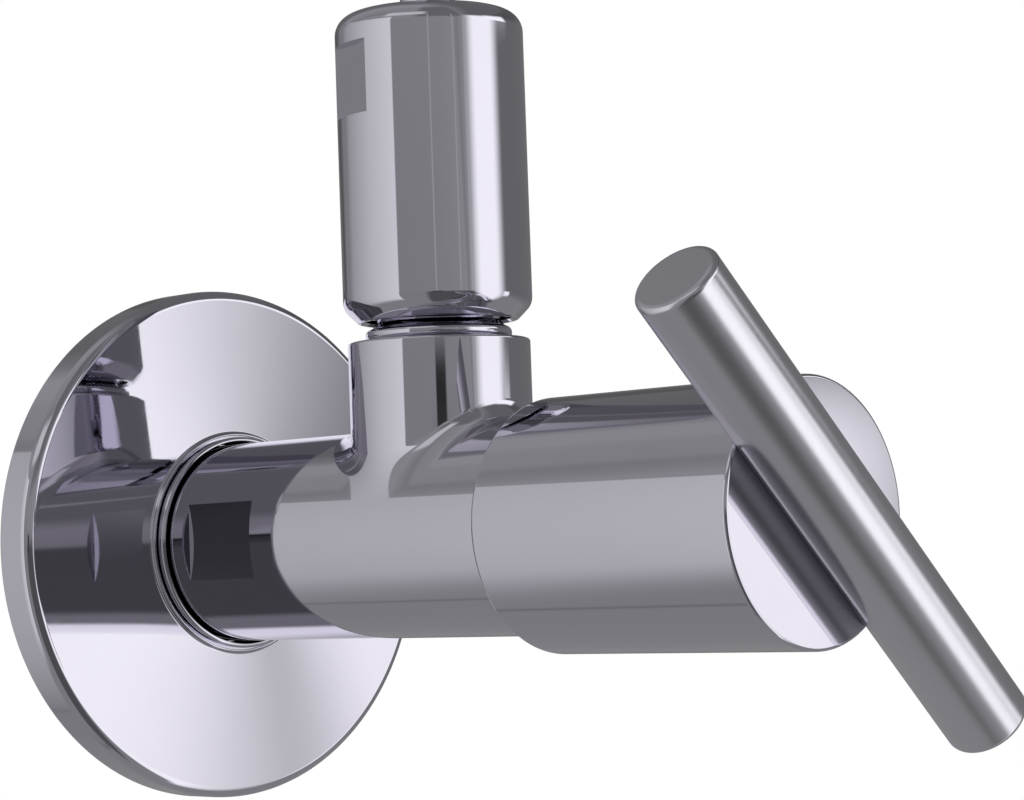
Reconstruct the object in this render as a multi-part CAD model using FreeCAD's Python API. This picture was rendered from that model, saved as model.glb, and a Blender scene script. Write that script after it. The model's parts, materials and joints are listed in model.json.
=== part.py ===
import FreeCAD, Part
import math
import os

# Wall-mounted angle stop valve with a quarter-turn cross-bar handle, in millimetres.
# The valve axis leaves the wall along -Y, and "out" is a distance from the wall along it.
# +Z is up, towards the outlet. The origin is on the valve axis at the wall's face.
# Angles are measured from +X towards +Z, as seen by someone who faces the handle.

# Body and its inlet thread
BODY_R = 12.0
BODY_FRONT = 68.0
BODY_EDGE = 0.5
INLET_THREAD_R = 10.48
INLET_THREAD_END = 14.0
INLET_SHOULDER = 1.0
INLET_CHAMFER = 1.2
INLET_BORE_R = 6.5
INLET_MOUTH = 1.0
BODY_FLAT_DEPTH = 0.87
BODY_FLAT_START = 10.3
BODY_FLAT_LENGTH = 11.7

# Outlet branch and its threaded neck
BRANCH_OUT = 42.6
BRANCH_R = 10.4
BRANCH_TOP = 21.65
BRANCH_EDGE = 0.35
SADDLE_FILLET = 3.0
BRANCH_BORE_R = 5.0
BORE_ROUND = 1.0
NECK_RING_R = 8.35
NECK_RING_HEIGHT = 1.5
NECK_RELIEF_R = 7.2
NECK_RELIEF_HEIGHT = 1.3
NECK_THREAD_R = 8.33
NECK_THREAD_LENGTH = 9.6
NECK_CHAMFER = 0.6
NECK_FLOOR = 4.0
NECK_CONE_DEPTH = 2.6
NECK_CONE_MOUTH_R = 4.7

# Seat, chamber and headwork socket inside the body
SEAT_OUT = 33.0
SEAT_LAND = 2.5
SEAT_R = 4.4
CHAMBER_R = 7.9
SOCKET_THREAD_R = 8.33
SOCKET_LENGTH = 11.0
THREAD_CLEARANCE = 0.04

# Wall flange
FLANGE_R = 31.0
FLANGE_RIM_OUT = 5.2
FLANGE_CROWN = 0.7
FLANGE_WALL = 1.0
FLANGE_ROUND = 1.3
FLANGE_LIP_ROUND = 0.2
FLANGE_HOLE_CLEARANCE = 0.35
COLLAR_HEIGHT = 1.5
COLLAR_WALL = 0.6
COLLAR_STEP_HEIGHT = 0.65
COLLAR_STEP_WIDTH = 0.4
COLLAR_FOOT_ROUND = 0.35
COLLAR_EDGE_ROUND = 0.25
COLLAR_STEP_ROUND = 0.1
BOSS_WALL = 0.9
BOSS_OUT = 2.6
BOSS_LIP = 0.6
BOSS_LIP_GAP = 0.6
BOSS_FOOT_ROUND = 0.3
FLANGE_RING_SECTION_R = 0.6
FLANGE_RING_FIT = 0.05

# Ceramic headwork
SEAT_SEAL_THICKNESS = 2.0
SEAT_SEAL_OUTER_R = 6.1
SEAT_SEAL_ROUND = 0.4
DISC_THICKNESS = 3.0
DISC_R = 6.1
DISC_EDGE = 0.3
DISC_PLAY = 0.2
DISC_LUG_WIDTH = 2.4
DISC_LUG_REACH = 0.7
DISC_LUG_ROOT = 1.0
DISC_LUG_STEP = 0.4
PORT_INNER_R = 1.9
PORT_OUTER_R = 4.9
PORT_HALF_ANGLE = 38.0
PORT_ROUND = 0.6
FIXED_PORT_ANGLE = 90.0
DOG_DEPTH = 1.2
DOG_WIDTH = 2.2
DOG_INNER_R = 4.3
DOG_INSET = 0.1
DOG_PLAY = 0.08
CAGE_R = 7.3
CAGE_GAP = 0.4
CAGE_EDGE = 0.3
WINDOW_HALF_ANGLE = 55.0
WINDOW_LENGTH = 6.6
PADDLE_THICKNESS = 3.6
PADDLE_HALF_ANGLE = 42.0
PADDLE_HUB_R = 3.2
THRUST_WASHER_THICKNESS = 0.6
THRUST_WASHER_PLAY = 0.1
HEAD_FLANGE_R = 10.6
HEAD_FLANGE_THICKNESS = 1.8
HEAD_FLANGE_GAP = 0.1
HEAD_FLANGE_ROUND = 0.2
HEAD_THREAD_GAP = 0.5
HEAD_THREAD_LEAD = 0.7
HEAD_HEX_ACROSS = 17.0
HEAD_HEX_HEIGHT = 3.4
HEAD_HEX_CORNER = 0.7
HEAD_RING_SECTION_R = 0.62
CROWN_R = 6.7
CROWN_INNER_R = 5.0

# Spindle, its seals and its stop
SPINDLE_R = 3.75
SPINDLE_RUN = 0.05
SPINDLE_GROOVE_R = 2.75
SPINDLE_GROOVE_WIDTH = 1.2
SPINDLE_RING_SECTION_R = 0.49
SPINDLE_RING_DEPTHS = (16.0, 11.5)
SPLINE_TEETH = 20
SPLINE_TIP_R = 3.7
SPLINE_ROOT_R = 3.4
SPLINE_ROOT_SHARE = 0.32
SPLINE_TIP_SHARE = 0.14
SPLINE_PLAY = 0.05
SPLINE_LENGTH = 11.8
STOP_RING_THICKNESS = 2.4
STOP_RING_R = 4.8
STOP_RING_GAP = 0.15
STOP_LUG_SUNK = 0.5
STOP_LUG_R = 6.5
STOP_LUG_HALF_ANGLE = 20.0
STOP_SPARE_ANGLE = 1.0
STOP_LUG_ANGLE = 270.0
CIRCLIP_THICKNESS = 0.7
CIRCLIP_GROOVE_R = 3.0
CIRCLIP_R = 4.7
CIRCLIP_MOUTH_ANGLE = 60.0
CIRCLIP_PLAY = 0.05

# Handle
HUB_R = 14.0
HUB_OVERLAP = 7.3
HUB_LENGTH = 35.7
HUB_FRONT_CHAMFER = 0.5
HUB_BACK_ROUND = 0.6
HUB_SKIRT_GAP = 0.35
HUB_MOUTH_ROUND = 0.3
HUB_SKIRT_STEP = 0.5
HUB_SKIRT_ROUND = 1.0
HUB_FRONT_WALL = 6.0
BAR_R = 4.6
BAR_LENGTH = 65.0
BAR_ROUND = 0.7
BAR_SUNK = 1.65
BAR_FIT = 0.03
BAR_REST_ANGLE = 46.5
TURN_RANGE = 90.0
ADAPTER_R = 8.0
ADAPTER_FIT = 0.04
ADAPTER_LENGTH = 7.7
ADAPTER_GAP = 3.65
ADAPTER_ROUND = 0.4
ADAPTER_WEB = 1.8
ADAPTER_GROOVE_DEPTH = 0.8

# Handle screws
ADAPTER_SCREW_R = 2.0
ADAPTER_SCREW_HEAD_R = 3.5
ADAPTER_SCREW_HEAD = 2.2
ADAPTER_SCREW_LENGTH = 8.0
BAR_SCREW_R = 1.5
BAR_SCREW_HEAD_R = 2.6
BAR_SCREW_HEAD = 1.5
BAR_SCREW_REACH = 4.8
BAR_SCREW_OFFSET = 5.4
GRUB_R = 2.0
GRUB_LENGTH = 5.2
GRUB_CHAMFER = 0.3
GRUB_KEY_DEPTH = 1.8
GRUB_ANGLE = 320.0
SCREW_CLEARANCE = 0.2
SCREW_THREAD_FIT = 0.02
SCREW_HOLE_SPARE = 1.0
SCREW_HEAD_CHAMFER_SHARE = 0.15
KEY_DEPTH_SHARE = 0.6
KEY_SIZES = {"adapter_screw": 3.0, "bar_screw": 2.0, "grub": 2.0}

# Outlet joint
NUT_R = 10.8
NUT_BOTTOM = 23.9
NUT_TOP = 59.3
NUT_FOOT_CHAMFER = 1.7
NUT_FOOT_ROUND = 0.5
NUT_FOOT_SHOULDER_ROUND = 2.0
NUT_THREAD_MOUTH = 0.3
NUT_HOLE_ROUND = 0.3
NUT_TOP_ROUND = 2.4
NUT_FLAT_DEPTH = 0.79
NUT_FLAT_BOTTOM = 47.1
NUT_FLAT_HEIGHT = 8.3
NUT_FLAT_ANGLE = 18.0
NUT_THREAD_LENGTH = 13.0
NUT_BORE_R = 7.9
NUT_CROWN = 3.2
TUBE_R = 3.175
TUBE_WALL = 0.8
TUBE_TOP = 72.0
TUBE_EDGE = 0.2
TUBE_STOP_GAP = 0.3
TUBE_HOLE_CLEARANCE = 0.15
TUBE_FIT = 0.04
OLIVE_HEIGHT = 4.6
OLIVE_R = 4.55
OLIVE_LIP = 0.6
OLIVE_ROUND = 0.5
OLIVE_MIDDLE_SHARE = 0.6
OLIVE_SUNK = 2.3
SLEEVE_FIT = 0.15
SLEEVE_WAIST_R = 5.2
SLEEVE_COLLAR = 3.5
SLEEVE_EDGE = 0.4
SLEEVE_WAIST_ROUND = 0.6
SLIP_WASHER_THICKNESS = 0.8

# How far a cutting shape runs past the surface that it cuts
CUT_PAST = 1.0

# Places that follow from the sizes above
CLOSED_TURN = -BAR_REST_ANGLE
OPEN_TURN = TURN_RANGE - BAR_REST_ANGLE
DISC_OUT = SEAT_OUT + SEAT_SEAL_THICKNESS
MOVING_DISC_OUT = DISC_OUT + DISC_THICKNESS
PADDLE_OUT = MOVING_DISC_OUT + DISC_THICKNESS
CEILING_OUT = PADDLE_OUT + PADDLE_THICKNESS + THRUST_WASHER_THICKNESS
CAGE_BACK = SEAT_OUT + CAGE_GAP
CAGE_BORE_R = DISC_R + DISC_PLAY
HEAD_OUT = BODY_FRONT + HEAD_FLANGE_GAP
SOCKET_CHAMFER = HEAD_RING_SECTION_R * (2 + math.sqrt(2))
HEX_OUT = HEAD_OUT + HEAD_FLANGE_THICKNESS
CROWN_OUT = HEX_OUT + HEAD_HEX_HEIGHT
STOP_RING_OUT = CROWN_OUT + STOP_RING_GAP
CROWN_TOP = STOP_RING_OUT + STOP_RING_THICKNESS
CIRCLIP_OUT = CROWN_TOP
SPINDLE_TOP = CROWN_OUT + SPLINE_LENGTH
SPINDLE_BORE_R = SPINDLE_R + SPINDLE_RUN
SPINDLE_RING_OUTS = [BODY_FRONT - depth for depth in SPINDLE_RING_DEPTHS]
MOVING_PORT_ANGLE = FIXED_PORT_ANGLE - OPEN_TURN
PADDLE_ANGLE = MOVING_PORT_ANGLE + 90.0
BAR_ANGLE = 90.0 + BAR_REST_ANGLE
HUB_BACK = BODY_FRONT - HUB_OVERLAP
HUB_FRONT = HUB_BACK + HUB_LENGTH
BAR_OUT = HUB_FRONT + BAR_R - BAR_SUNK
HUB_FLOOR = HUB_FRONT - HUB_FRONT_WALL
ADAPTER_BACK = CROWN_TOP + ADAPTER_GAP
ADAPTER_TOP = ADAPTER_BACK + ADAPTER_LENGTH
HUB_SKIRT_FLOOR = ADAPTER_BACK - HUB_SKIRT_STEP
GRUB_OUT = ADAPTER_BACK + ADAPTER_LENGTH / 2
BAR_HEAD_SEAT = HUB_FLOOR + BAR_SCREW_HEAD + SCREW_CLEARANCE
NECK_RELIEF_Z = BRANCH_TOP + NECK_RING_HEIGHT
NECK_THREAD_Z = NECK_RELIEF_Z + NECK_RELIEF_HEIGHT
NECK_TOP = NECK_THREAD_Z + NECK_THREAD_LENGTH
TUBE_STOP_Z = BRANCH_TOP + NECK_FLOOR / 2
TUBE_SOCKET_R = TUBE_R + TUBE_HOLE_CLEARANCE
TUBE_BORE_R = TUBE_R - TUBE_WALL
OLIVE_Z = NECK_TOP - OLIVE_SUNK
OLIVE_MIDDLE = OLIVE_Z + OLIVE_MIDDLE_SHARE * OLIVE_HEIGHT
OLIVE_TOP = OLIVE_Z + OLIVE_HEIGHT
NUT_CEILING = NUT_TOP - NUT_CROWN
SLEEVE_TOP = NUT_CEILING - SLIP_WASHER_THICKNESS
SLEEVE_R = NUT_BORE_R - SLEEVE_FIT
NUT_STEP_Z = NUT_BOTTOM + NUT_THREAD_LENGTH

ORIGIN = FreeCAD.Vector(0, 0, 0)
X_AXIS = FreeCAD.Vector(1, 0, 0)
Y_AXIS = FreeCAD.Vector(0, 1, 0)
Z_AXIS = FreeCAD.Vector(0, 0, 1)
OUTWARD = FreeCAD.Vector(0, -1, 0)
BRANCH_FOOT = FreeCAD.Vector(0, -BRANCH_OUT, 0)


def on_valve_axis(along, radius):
    """A point of a section, at a distance from the wall and a radius."""
    return FreeCAD.Vector(radius, -along, 0)


def on_branch_axis(along, radius):
    """A point of a section, at a height and a radius about the outlet."""
    return FreeCAD.Vector(radius, -BRANCH_OUT, along)


def section(corners, place):
    """A closed face from corners (along, radius, rounding), each rounded by its own arc."""
    count = len(corners)
    starts = []
    ends = []
    middles = []
    for index in range(count):
        before = place(*corners[index - 1][:2])
        here = place(*corners[index][:2])
        after = place(*corners[(index + 1) % count][:2])
        rounding = corners[index][2]
        if rounding == 0:
            starts.append(here)
            ends.append(here)
            middles.append(None)
            continue
        back = (before - here).normalize()
        ahead = (after - here).normalize()
        half_angle = back.getAngle(ahead) / 2
        reach = rounding / math.tan(half_angle)
        bisector = (back + ahead).normalize()
        centre = here + bisector * (rounding / math.sin(half_angle))
        starts.append(here + back * reach)
        ends.append(here + ahead * reach)
        middles.append(centre - bisector * rounding)
    edges = []
    for index in range(count):
        if middles[index] is not None:
            arc = Part.Arc(starts[index], middles[index], ends[index])
            edges.append(arc.toShape())
        following = (index + 1) % count
        if ends[index].distanceToPoint(starts[following]) > 1e-6:
            edges.append(Part.LineSegment(ends[index], starts[following]).toShape())
    return Part.Face(Part.Wire(edges))


def turned(corners):
    """A piece turned about the valve axis."""
    return section(corners, on_valve_axis).revolve(ORIGIN, Y_AXIS, 360)


def turned_upright(corners):
    """A piece turned about the outlet's upright axis."""
    return section(corners, on_branch_axis).revolve(BRANCH_FOOT, Z_AXIS, 360)


def tube_section(start, end, inner, outer):
    """The four plain corners of a ring's section."""
    return [(start, inner, 0), (end, inner, 0), (end, outer, 0), (start, outer, 0)]


def facing(angle):
    """The unit direction at an angle, as seen from the front."""
    turn = math.radians(angle)
    return FreeCAD.Vector(math.cos(turn), 0, math.sin(turn))


def sector(start, end, inner, outer, middle_angle, half_angle):
    """A part of a ring about the valve axis, centred on an angle."""
    face = section(tube_section(start, end, inner, outer), on_valve_axis)
    face.rotate(ORIGIN, OUTWARD, middle_angle - half_angle)
    return face.revolve(ORIGIN, OUTWARD, 2 * half_angle)


def key_block(start, end, inner, outer, width, angle):
    """A straight-sided block that lies along one radius."""
    block = Part.makeBox(outer - inner, end - start, width)
    block.translate(FreeCAD.Vector(inner, -end, -width / 2))
    block.rotate(ORIGIN, OUTWARD, angle)
    return block


def hexagon(across, start, end):
    """A hexagonal bar about the valve axis."""
    corner_r = across / math.sqrt(3)
    points = [facing(60 * side) * corner_r + OUTWARD * start for side in range(7)]
    return Part.Face(Part.makePolygon(points)).extrude(OUTWARD * (end - start))


def o_ring(out, middle_r, section_r):
    """A rubber ring about the valve axis."""
    return Part.makeTorus(middle_r, section_r, OUTWARD * out, OUTWARD)


def spline(start, end, grow):
    """A toothed bar about the valve axis, grown by a clearance for its socket."""
    pitch = 360.0 / SPLINE_TEETH
    tip = SPLINE_TIP_R + grow
    root = SPLINE_ROOT_R + grow
    tooth = ((root, -SPLINE_ROOT_SHARE), (tip, -SPLINE_TIP_SHARE),
             (tip, SPLINE_TIP_SHARE), (root, SPLINE_ROOT_SHARE))
    points = []
    for index in range(SPLINE_TEETH):
        for radius, share in tooth:
            points.append(facing(pitch * (index + share)) * radius + OUTWARD * start)
    points.append(points[0])
    return Part.Face(Part.makePolygon(points)).extrude(OUTWARD * (end - start))


def socket_screw(shank_r, length, head_r, head, key):
    """A cap screw that points along +Z, with its head's seat at the origin."""
    shank = Part.makeCylinder(shank_r, length)
    cap = Part.makeCylinder(head_r, head, FreeCAD.Vector(0, 0, -head))
    rim = [edge for edge in cap.Edges if edge.CenterOfMass.z < -head / 2 and len(edge.Vertexes) == 1]
    cap = cap.makeChamfer(SCREW_HEAD_CHAMFER_SHARE * head, rim)
    recess = key_recess(key, KEY_DEPTH_SHARE * head)
    recess.translate(FreeCAD.Vector(0, 0, -head))
    return shank.fuse(cap).removeSplitter().cut(recess)


def key_recess(across, depth):
    """The hexagonal recess for a key, from the XY plane upwards."""
    corner_r = across / math.sqrt(3)
    points = []
    for side in range(7):
        turn = math.radians(60 * side)
        points.append(FreeCAD.Vector(corner_r * math.cos(turn), corner_r * math.sin(turn), 0))
    return Part.Face(Part.makePolygon(points)).extrude(Z_AXIS * depth)


def place_along(shape, position, direction):
    """Turn a piece that points along +Z to a direction, and move it to a position."""
    moved = shape.copy()
    moved.Placement = FreeCAD.Placement(position, FreeCAD.Rotation(Z_AXIS, direction))
    return moved


def side_flats(radius, depth, along_start, length, axis):
    """Two blocks that mill a pair of flats on a round piece, on its -X and +X sides."""
    blocks = []
    for side in (-1, 1):
        block = Part.makeBox(2 * depth, length, 2 * radius)
        block.translate(FreeCAD.Vector(-depth, -length / 2, -radius))
        if axis == "upright":
            block.rotate(ORIGIN, X_AXIS, 90)
        block.translate(FreeCAD.Vector(side * radius, 0, 0))
        if axis == "upright":
            block.translate(Z_AXIS * (along_start + length / 2))
        else:
            block.translate(OUTWARD * (along_start + length / 2))
        blocks.append(block)
    return blocks


def saddle_edges(shape):
    """The edges where the branch's round meets the body's round."""
    found = []
    for edge in shape.Edges:
        on_both = True
        for share in (0.1, 0.5, 0.9):
            first, last = edge.ParameterRange
            point = edge.valueAt(first + share * (last - first))
            from_body = math.hypot(point.x, point.z) - BODY_R
            from_branch = math.hypot(point.x, point.y + BRANCH_OUT) - BRANCH_R
            if abs(from_body) > 1e-3 or abs(from_branch) > 1e-3:
                on_both = False
        if on_both:
            found.append(edge)
    return found


def body_outside():
    """The forged tee's outside: threaded nipple, tube, filleted branch and neck."""
    tube = turned([
        (-INLET_THREAD_END, 0, 0),
        (-INLET_THREAD_END, INLET_THREAD_R - INLET_CHAMFER, 0),
        (INLET_CHAMFER - INLET_THREAD_END, INLET_THREAD_R, 0),
        (INLET_SHOULDER, INLET_THREAD_R, 0),
        (INLET_SHOULDER, BODY_R, BODY_EDGE),
        (BODY_FRONT, BODY_R, BODY_EDGE),
        (BODY_FRONT, 0, 0),
    ])
    branch = turned_upright([
        (0, 0, 0),
        (0, BRANCH_R, 0),
        (BRANCH_TOP, BRANCH_R, BRANCH_EDGE),
        (BRANCH_TOP, NECK_RING_R, 0),
        (NECK_RELIEF_Z, NECK_RING_R, BRANCH_EDGE),
        (NECK_RELIEF_Z, NECK_RELIEF_R, 0),
        (NECK_THREAD_Z, NECK_RELIEF_R, 0),
        (NECK_THREAD_Z, NECK_THREAD_R, 0),
        (NECK_TOP - NECK_CHAMFER, NECK_THREAD_R, 0),
        (NECK_TOP, NECK_THREAD_R - NECK_CHAMFER, 0),
        (NECK_TOP, 0, 0),
    ])
    tee = tube.fuse(branch).removeSplitter()
    return tee.makeFillet(SADDLE_FILLET, saddle_edges(tee))


def body_inside():
    """The waterway: inlet bore, seat, chamber, headwork socket and the outlet's bore."""
    seat_back = SEAT_OUT - SEAT_LAND
    socket_back = BODY_FRONT - SOCKET_LENGTH
    socket_r = SOCKET_THREAD_R + THREAD_CLEARANCE
    way = turned([
        (-INLET_THREAD_END, 0, 0),
        (-INLET_THREAD_END, INLET_BORE_R + INLET_MOUTH, 0),
        (INLET_MOUTH - INLET_THREAD_END, INLET_BORE_R, 0),
        (seat_back, INLET_BORE_R, BORE_ROUND),
        (seat_back, SEAT_R, 0),
        (SEAT_OUT, SEAT_R, 0),
        (SEAT_OUT, CHAMBER_R, 0),
        (socket_back, CHAMBER_R, 0),
        (socket_back, socket_r, 0),
        (BODY_FRONT - SOCKET_CHAMFER, socket_r, 0),
        (BODY_FRONT, socket_r + SOCKET_CHAMFER, 0),
        (BODY_FRONT, 0, 0),
    ])
    outlet = turned_upright([
        (0, 0, 0),
        (0, BRANCH_BORE_R, 0),
        (BRANCH_TOP - NECK_FLOOR / 2, BRANCH_BORE_R, BORE_ROUND),
        (BRANCH_TOP - NECK_FLOOR / 2, TUBE_BORE_R, 0),
        (TUBE_STOP_Z, TUBE_BORE_R, 0),
        (TUBE_STOP_Z, TUBE_SOCKET_R, 0),
        (NECK_TOP - NECK_CONE_DEPTH, TUBE_SOCKET_R, 0),
        (NECK_TOP, NECK_CONE_MOUTH_R, 0),
        (NECK_TOP, 0, 0),
    ])
    return way.fuse(outlet)


def valve_body():
    shape = body_outside().cut(body_inside())
    for block in side_flats(BODY_R, BODY_FLAT_DEPTH, BODY_FLAT_START, BODY_FLAT_LENGTH, "valve"):
        shape = shape.cut(block)
    return shape


def wall_flange():
    """A shallow crowned cup on the wall: a stepped collar outside, a boss for the rubber ring inside."""
    hole_r = BODY_R + FLANGE_HOLE_CLEARANCE
    groove_r = flange_groove_r()
    collar_r = hole_r + COLLAR_WALL
    step_r = collar_r + COLLAR_STEP_WIDTH
    face_out = FLANGE_RIM_OUT + FLANGE_CROWN
    step_out = face_out + COLLAR_STEP_HEIGHT
    collar_top = face_out + COLLAR_HEIGHT
    groove_foot = BOSS_OUT + BOSS_LIP
    groove_top = groove_foot + 2 * FLANGE_RING_SECTION_R + FLANGE_RING_FIT
    lip_r = BODY_R + BOSS_LIP_GAP
    boss_r = groove_r + BOSS_WALL
    inner_r = FLANGE_R - FLANGE_WALL
    return turned([
        (0, inner_r, 0),
        (0, FLANGE_R, FLANGE_LIP_ROUND),
        (FLANGE_RIM_OUT, FLANGE_R, FLANGE_ROUND),
        (face_out, step_r, COLLAR_FOOT_ROUND),
        (step_out, step_r, COLLAR_EDGE_ROUND),
        (step_out, collar_r, COLLAR_STEP_ROUND),
        (collar_top, collar_r, COLLAR_EDGE_ROUND),
        (collar_top, hole_r, COLLAR_STEP_ROUND),
        (groove_top, hole_r, 0),
        (groove_top, groove_r, 0),
        (groove_foot, groove_r, 0),
        (groove_foot, lip_r, 0),
        (BOSS_OUT, lip_r, FLANGE_LIP_ROUND),
        (BOSS_OUT, boss_r, FLANGE_LIP_ROUND),
        (face_out - FLANGE_WALL, boss_r, BOSS_FOOT_ROUND),
        (FLANGE_RIM_OUT - FLANGE_WALL, inner_r, FLANGE_ROUND / 2),
    ])


def flange_groove_r():
    return BODY_R + 2 * FLANGE_RING_SECTION_R + 2 * FLANGE_RING_FIT


def flange_o_ring():
    out = BOSS_OUT + BOSS_LIP + FLANGE_RING_SECTION_R + FLANGE_RING_FIT / 2
    return o_ring(out, BODY_R + FLANGE_RING_FIT + FLANGE_RING_SECTION_R, FLANGE_RING_SECTION_R)


def seat_seal():
    return turned([
        (SEAT_OUT, SEAT_R, 0),
        (SEAT_OUT, SEAT_SEAL_OUTER_R, SEAT_SEAL_ROUND),
        (DISC_OUT, SEAT_SEAL_OUTER_R, SEAT_SEAL_ROUND),
        (DISC_OUT, SEAT_R, 0),
    ])


def ported_disc(out, port_angle):
    """A lapped ceramic disc with two opposite kidney ports."""
    shape = turned([
        (out, 0, 0),
        (out, DISC_R, DISC_EDGE),
        (out + DISC_THICKNESS, DISC_R, DISC_EDGE),
        (out + DISC_THICKNESS, 0, 0),
    ])
    for half_turn in (0, 180):
        port = sector(out, out + DISC_THICKNESS, PORT_INNER_R, PORT_OUTER_R,
                      port_angle + half_turn, PORT_HALF_ANGLE)
        corners = [edge for edge in port.Edges
                   if edge.Length > 0.9 * DISC_THICKNESS and is_along_y(edge)]
        shape = shape.cut(port.makeFillet(PORT_ROUND, corners))
    return shape


def is_along_y(edge):
    if len(edge.Vertexes) != 2:
        return False
    run = edge.Vertexes[1].Point - edge.Vertexes[0].Point
    return abs(abs(run.y) - edge.Length) < 1e-6


def fixed_disc():
    """The disc that lies on the seat's seal, held by two lugs in the cage's slots."""
    shape = ported_disc(DISC_OUT, FIXED_PORT_ANGLE)
    for angle in (0, 180):
        lug = key_block(DISC_OUT, MOVING_DISC_OUT - DISC_LUG_STEP, DISC_R - DISC_LUG_ROOT, DISC_R + DISC_LUG_REACH,
                        DISC_LUG_WIDTH, angle)
        shape = shape.fuse(lug)
    return shape.removeSplitter()


def moving_disc():
    """The disc that the spindle turns, with a notch in its rim for each driving dog."""
    shape = ported_disc(MOVING_DISC_OUT, MOVING_PORT_ANGLE)
    notch_out = PADDLE_OUT - DOG_DEPTH - DOG_PLAY
    for half_turn in (0, 180):
        notch = key_block(notch_out, PADDLE_OUT, DOG_INNER_R - DOG_PLAY, DISC_R + CUT_PAST,
                          DOG_WIDTH + 2 * DOG_PLAY, PADDLE_ANGLE + half_turn)
        shape = shape.cut(notch)
    return shape


def cartridge_housing():
    """The headwork: windowed cage, threaded barrel, sealing flange, hexagon and stop crown."""
    thread_start = BODY_FRONT - SOCKET_LENGTH + HEAD_THREAD_GAP
    shape = turned([
        (CAGE_BACK, SEAT_SEAL_OUTER_R + DISC_PLAY, 0),
        (CAGE_BACK, CAGE_R, CAGE_EDGE),
        (thread_start, CAGE_R, 0),
        (thread_start + HEAD_THREAD_LEAD, SOCKET_THREAD_R, 0),
        (HEAD_OUT, SOCKET_THREAD_R, 0),
        (HEAD_OUT, HEAD_FLANGE_R, HEAD_FLANGE_ROUND),
        (HEX_OUT, HEAD_FLANGE_R, HEAD_FLANGE_ROUND),
        (HEX_OUT, CROWN_INNER_R, 0),
        (CROWN_OUT, CROWN_INNER_R, 0),
        (CROWN_OUT, SPINDLE_BORE_R, 0),
        (CEILING_OUT, SPINDLE_BORE_R, 0),
        (CEILING_OUT, CAGE_BORE_R, 0),
    ])
    blank_r = HEAD_HEX_ACROSS / 2 + HEAD_HEX_CORNER
    hex_blank = turned(tube_section(HEX_OUT, CROWN_OUT, SPINDLE_BORE_R, blank_r))
    chamfered = hex_blank.common(hexagon(HEAD_HEX_ACROSS, HEX_OUT, CROWN_OUT))
    shape = shape.fuse(chamfered)
    free_half = STOP_LUG_HALF_ANGLE + TURN_RANGE / 2 + STOP_SPARE_ANGLE
    free_middle = STOP_LUG_ANGLE + (OPEN_TURN + CLOSED_TURN) / 2
    crown = sector(CROWN_OUT, CROWN_TOP, CROWN_INNER_R, CROWN_R, free_middle + 180, 180 - free_half)
    shape = shape.fuse(crown).removeSplitter()
    for angle in (90, 270):
        shape = shape.cut(sector(MOVING_DISC_OUT, MOVING_DISC_OUT + WINDOW_LENGTH,
                                 CAGE_BORE_R - CUT_PAST, CAGE_R + CUT_PAST, angle, WINDOW_HALF_ANGLE))
    for angle in (0, 180):
        slot = key_block(CAGE_BACK - CUT_PAST, MOVING_DISC_OUT, DISC_R - CUT_PAST, CAGE_R + CUT_PAST,
                         DISC_LUG_WIDTH + DISC_PLAY, angle)
        shape = shape.cut(slot)
    return shape


def cartridge_o_ring():
    """The ring that seals the headwork in the chamfer at the body's mouth."""
    section_r = HEAD_RING_SECTION_R
    return o_ring(HEAD_OUT - section_r, SOCKET_THREAD_R + section_r, section_r)


def thrust_washer():
    start = PADDLE_OUT + PADDLE_THICKNESS
    return turned(tube_section(start, CEILING_OUT, SPINDLE_R + THRUST_WASHER_PLAY,
                               CAGE_BORE_R - THRUST_WASHER_PLAY))


def spindle():
    """The brass spindle: two-winged paddle with dogs, sealed shaft and splined end."""
    shoulder = PADDLE_OUT + PADDLE_THICKNESS
    corners = [(PADDLE_OUT, 0, 0), (PADDLE_OUT, PADDLE_HUB_R, 0), (shoulder, PADDLE_HUB_R, 0),
               (shoulder, SPINDLE_R, 0)]
    for out in SPINDLE_RING_OUTS:
        start = out - SPINDLE_GROOVE_WIDTH / 2
        end = out + SPINDLE_GROOVE_WIDTH / 2
        corners += [(start, SPINDLE_R, 0), (start, SPINDLE_GROOVE_R, 0),
                    (end, SPINDLE_GROOVE_R, 0), (end, SPINDLE_R, 0)]
    corners += [(CROWN_OUT, SPINDLE_R, 0), (CROWN_OUT, 0, 0)]
    shape = turned(corners)
    for half_turn in (0, 180):
        angle = PADDLE_ANGLE + half_turn
        wing = sector(PADDLE_OUT, shoulder, 0, DISC_R, angle, PADDLE_HALF_ANGLE)
        dog = key_block(PADDLE_OUT - DOG_DEPTH, shoulder, DOG_INNER_R, DISC_R - DOG_INSET,
                        DOG_WIDTH, angle)
        shape = shape.fuse([wing, dog])
    shape = shape.fuse(spline(CROWN_OUT, SPINDLE_TOP, 0)).removeSplitter()
    groove = turned(tube_section(CIRCLIP_OUT, CIRCLIP_OUT + CIRCLIP_THICKNESS + CIRCLIP_PLAY,
                                 CIRCLIP_GROOVE_R, SPINDLE_R + CUT_PAST))
    thread = turned(tube_section(SPINDLE_TOP - ADAPTER_SCREW_LENGTH, SPINDLE_TOP, 0,
                                 ADAPTER_SCREW_R + SCREW_THREAD_FIT))
    return shape.cut(groove).cut(thread)


def spindle_o_ring(out):
    inner = SPINDLE_GROOVE_R + (SPINDLE_R - SPINDLE_GROOVE_R) / 2
    return o_ring(out, inner, SPINDLE_RING_SECTION_R)


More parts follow.
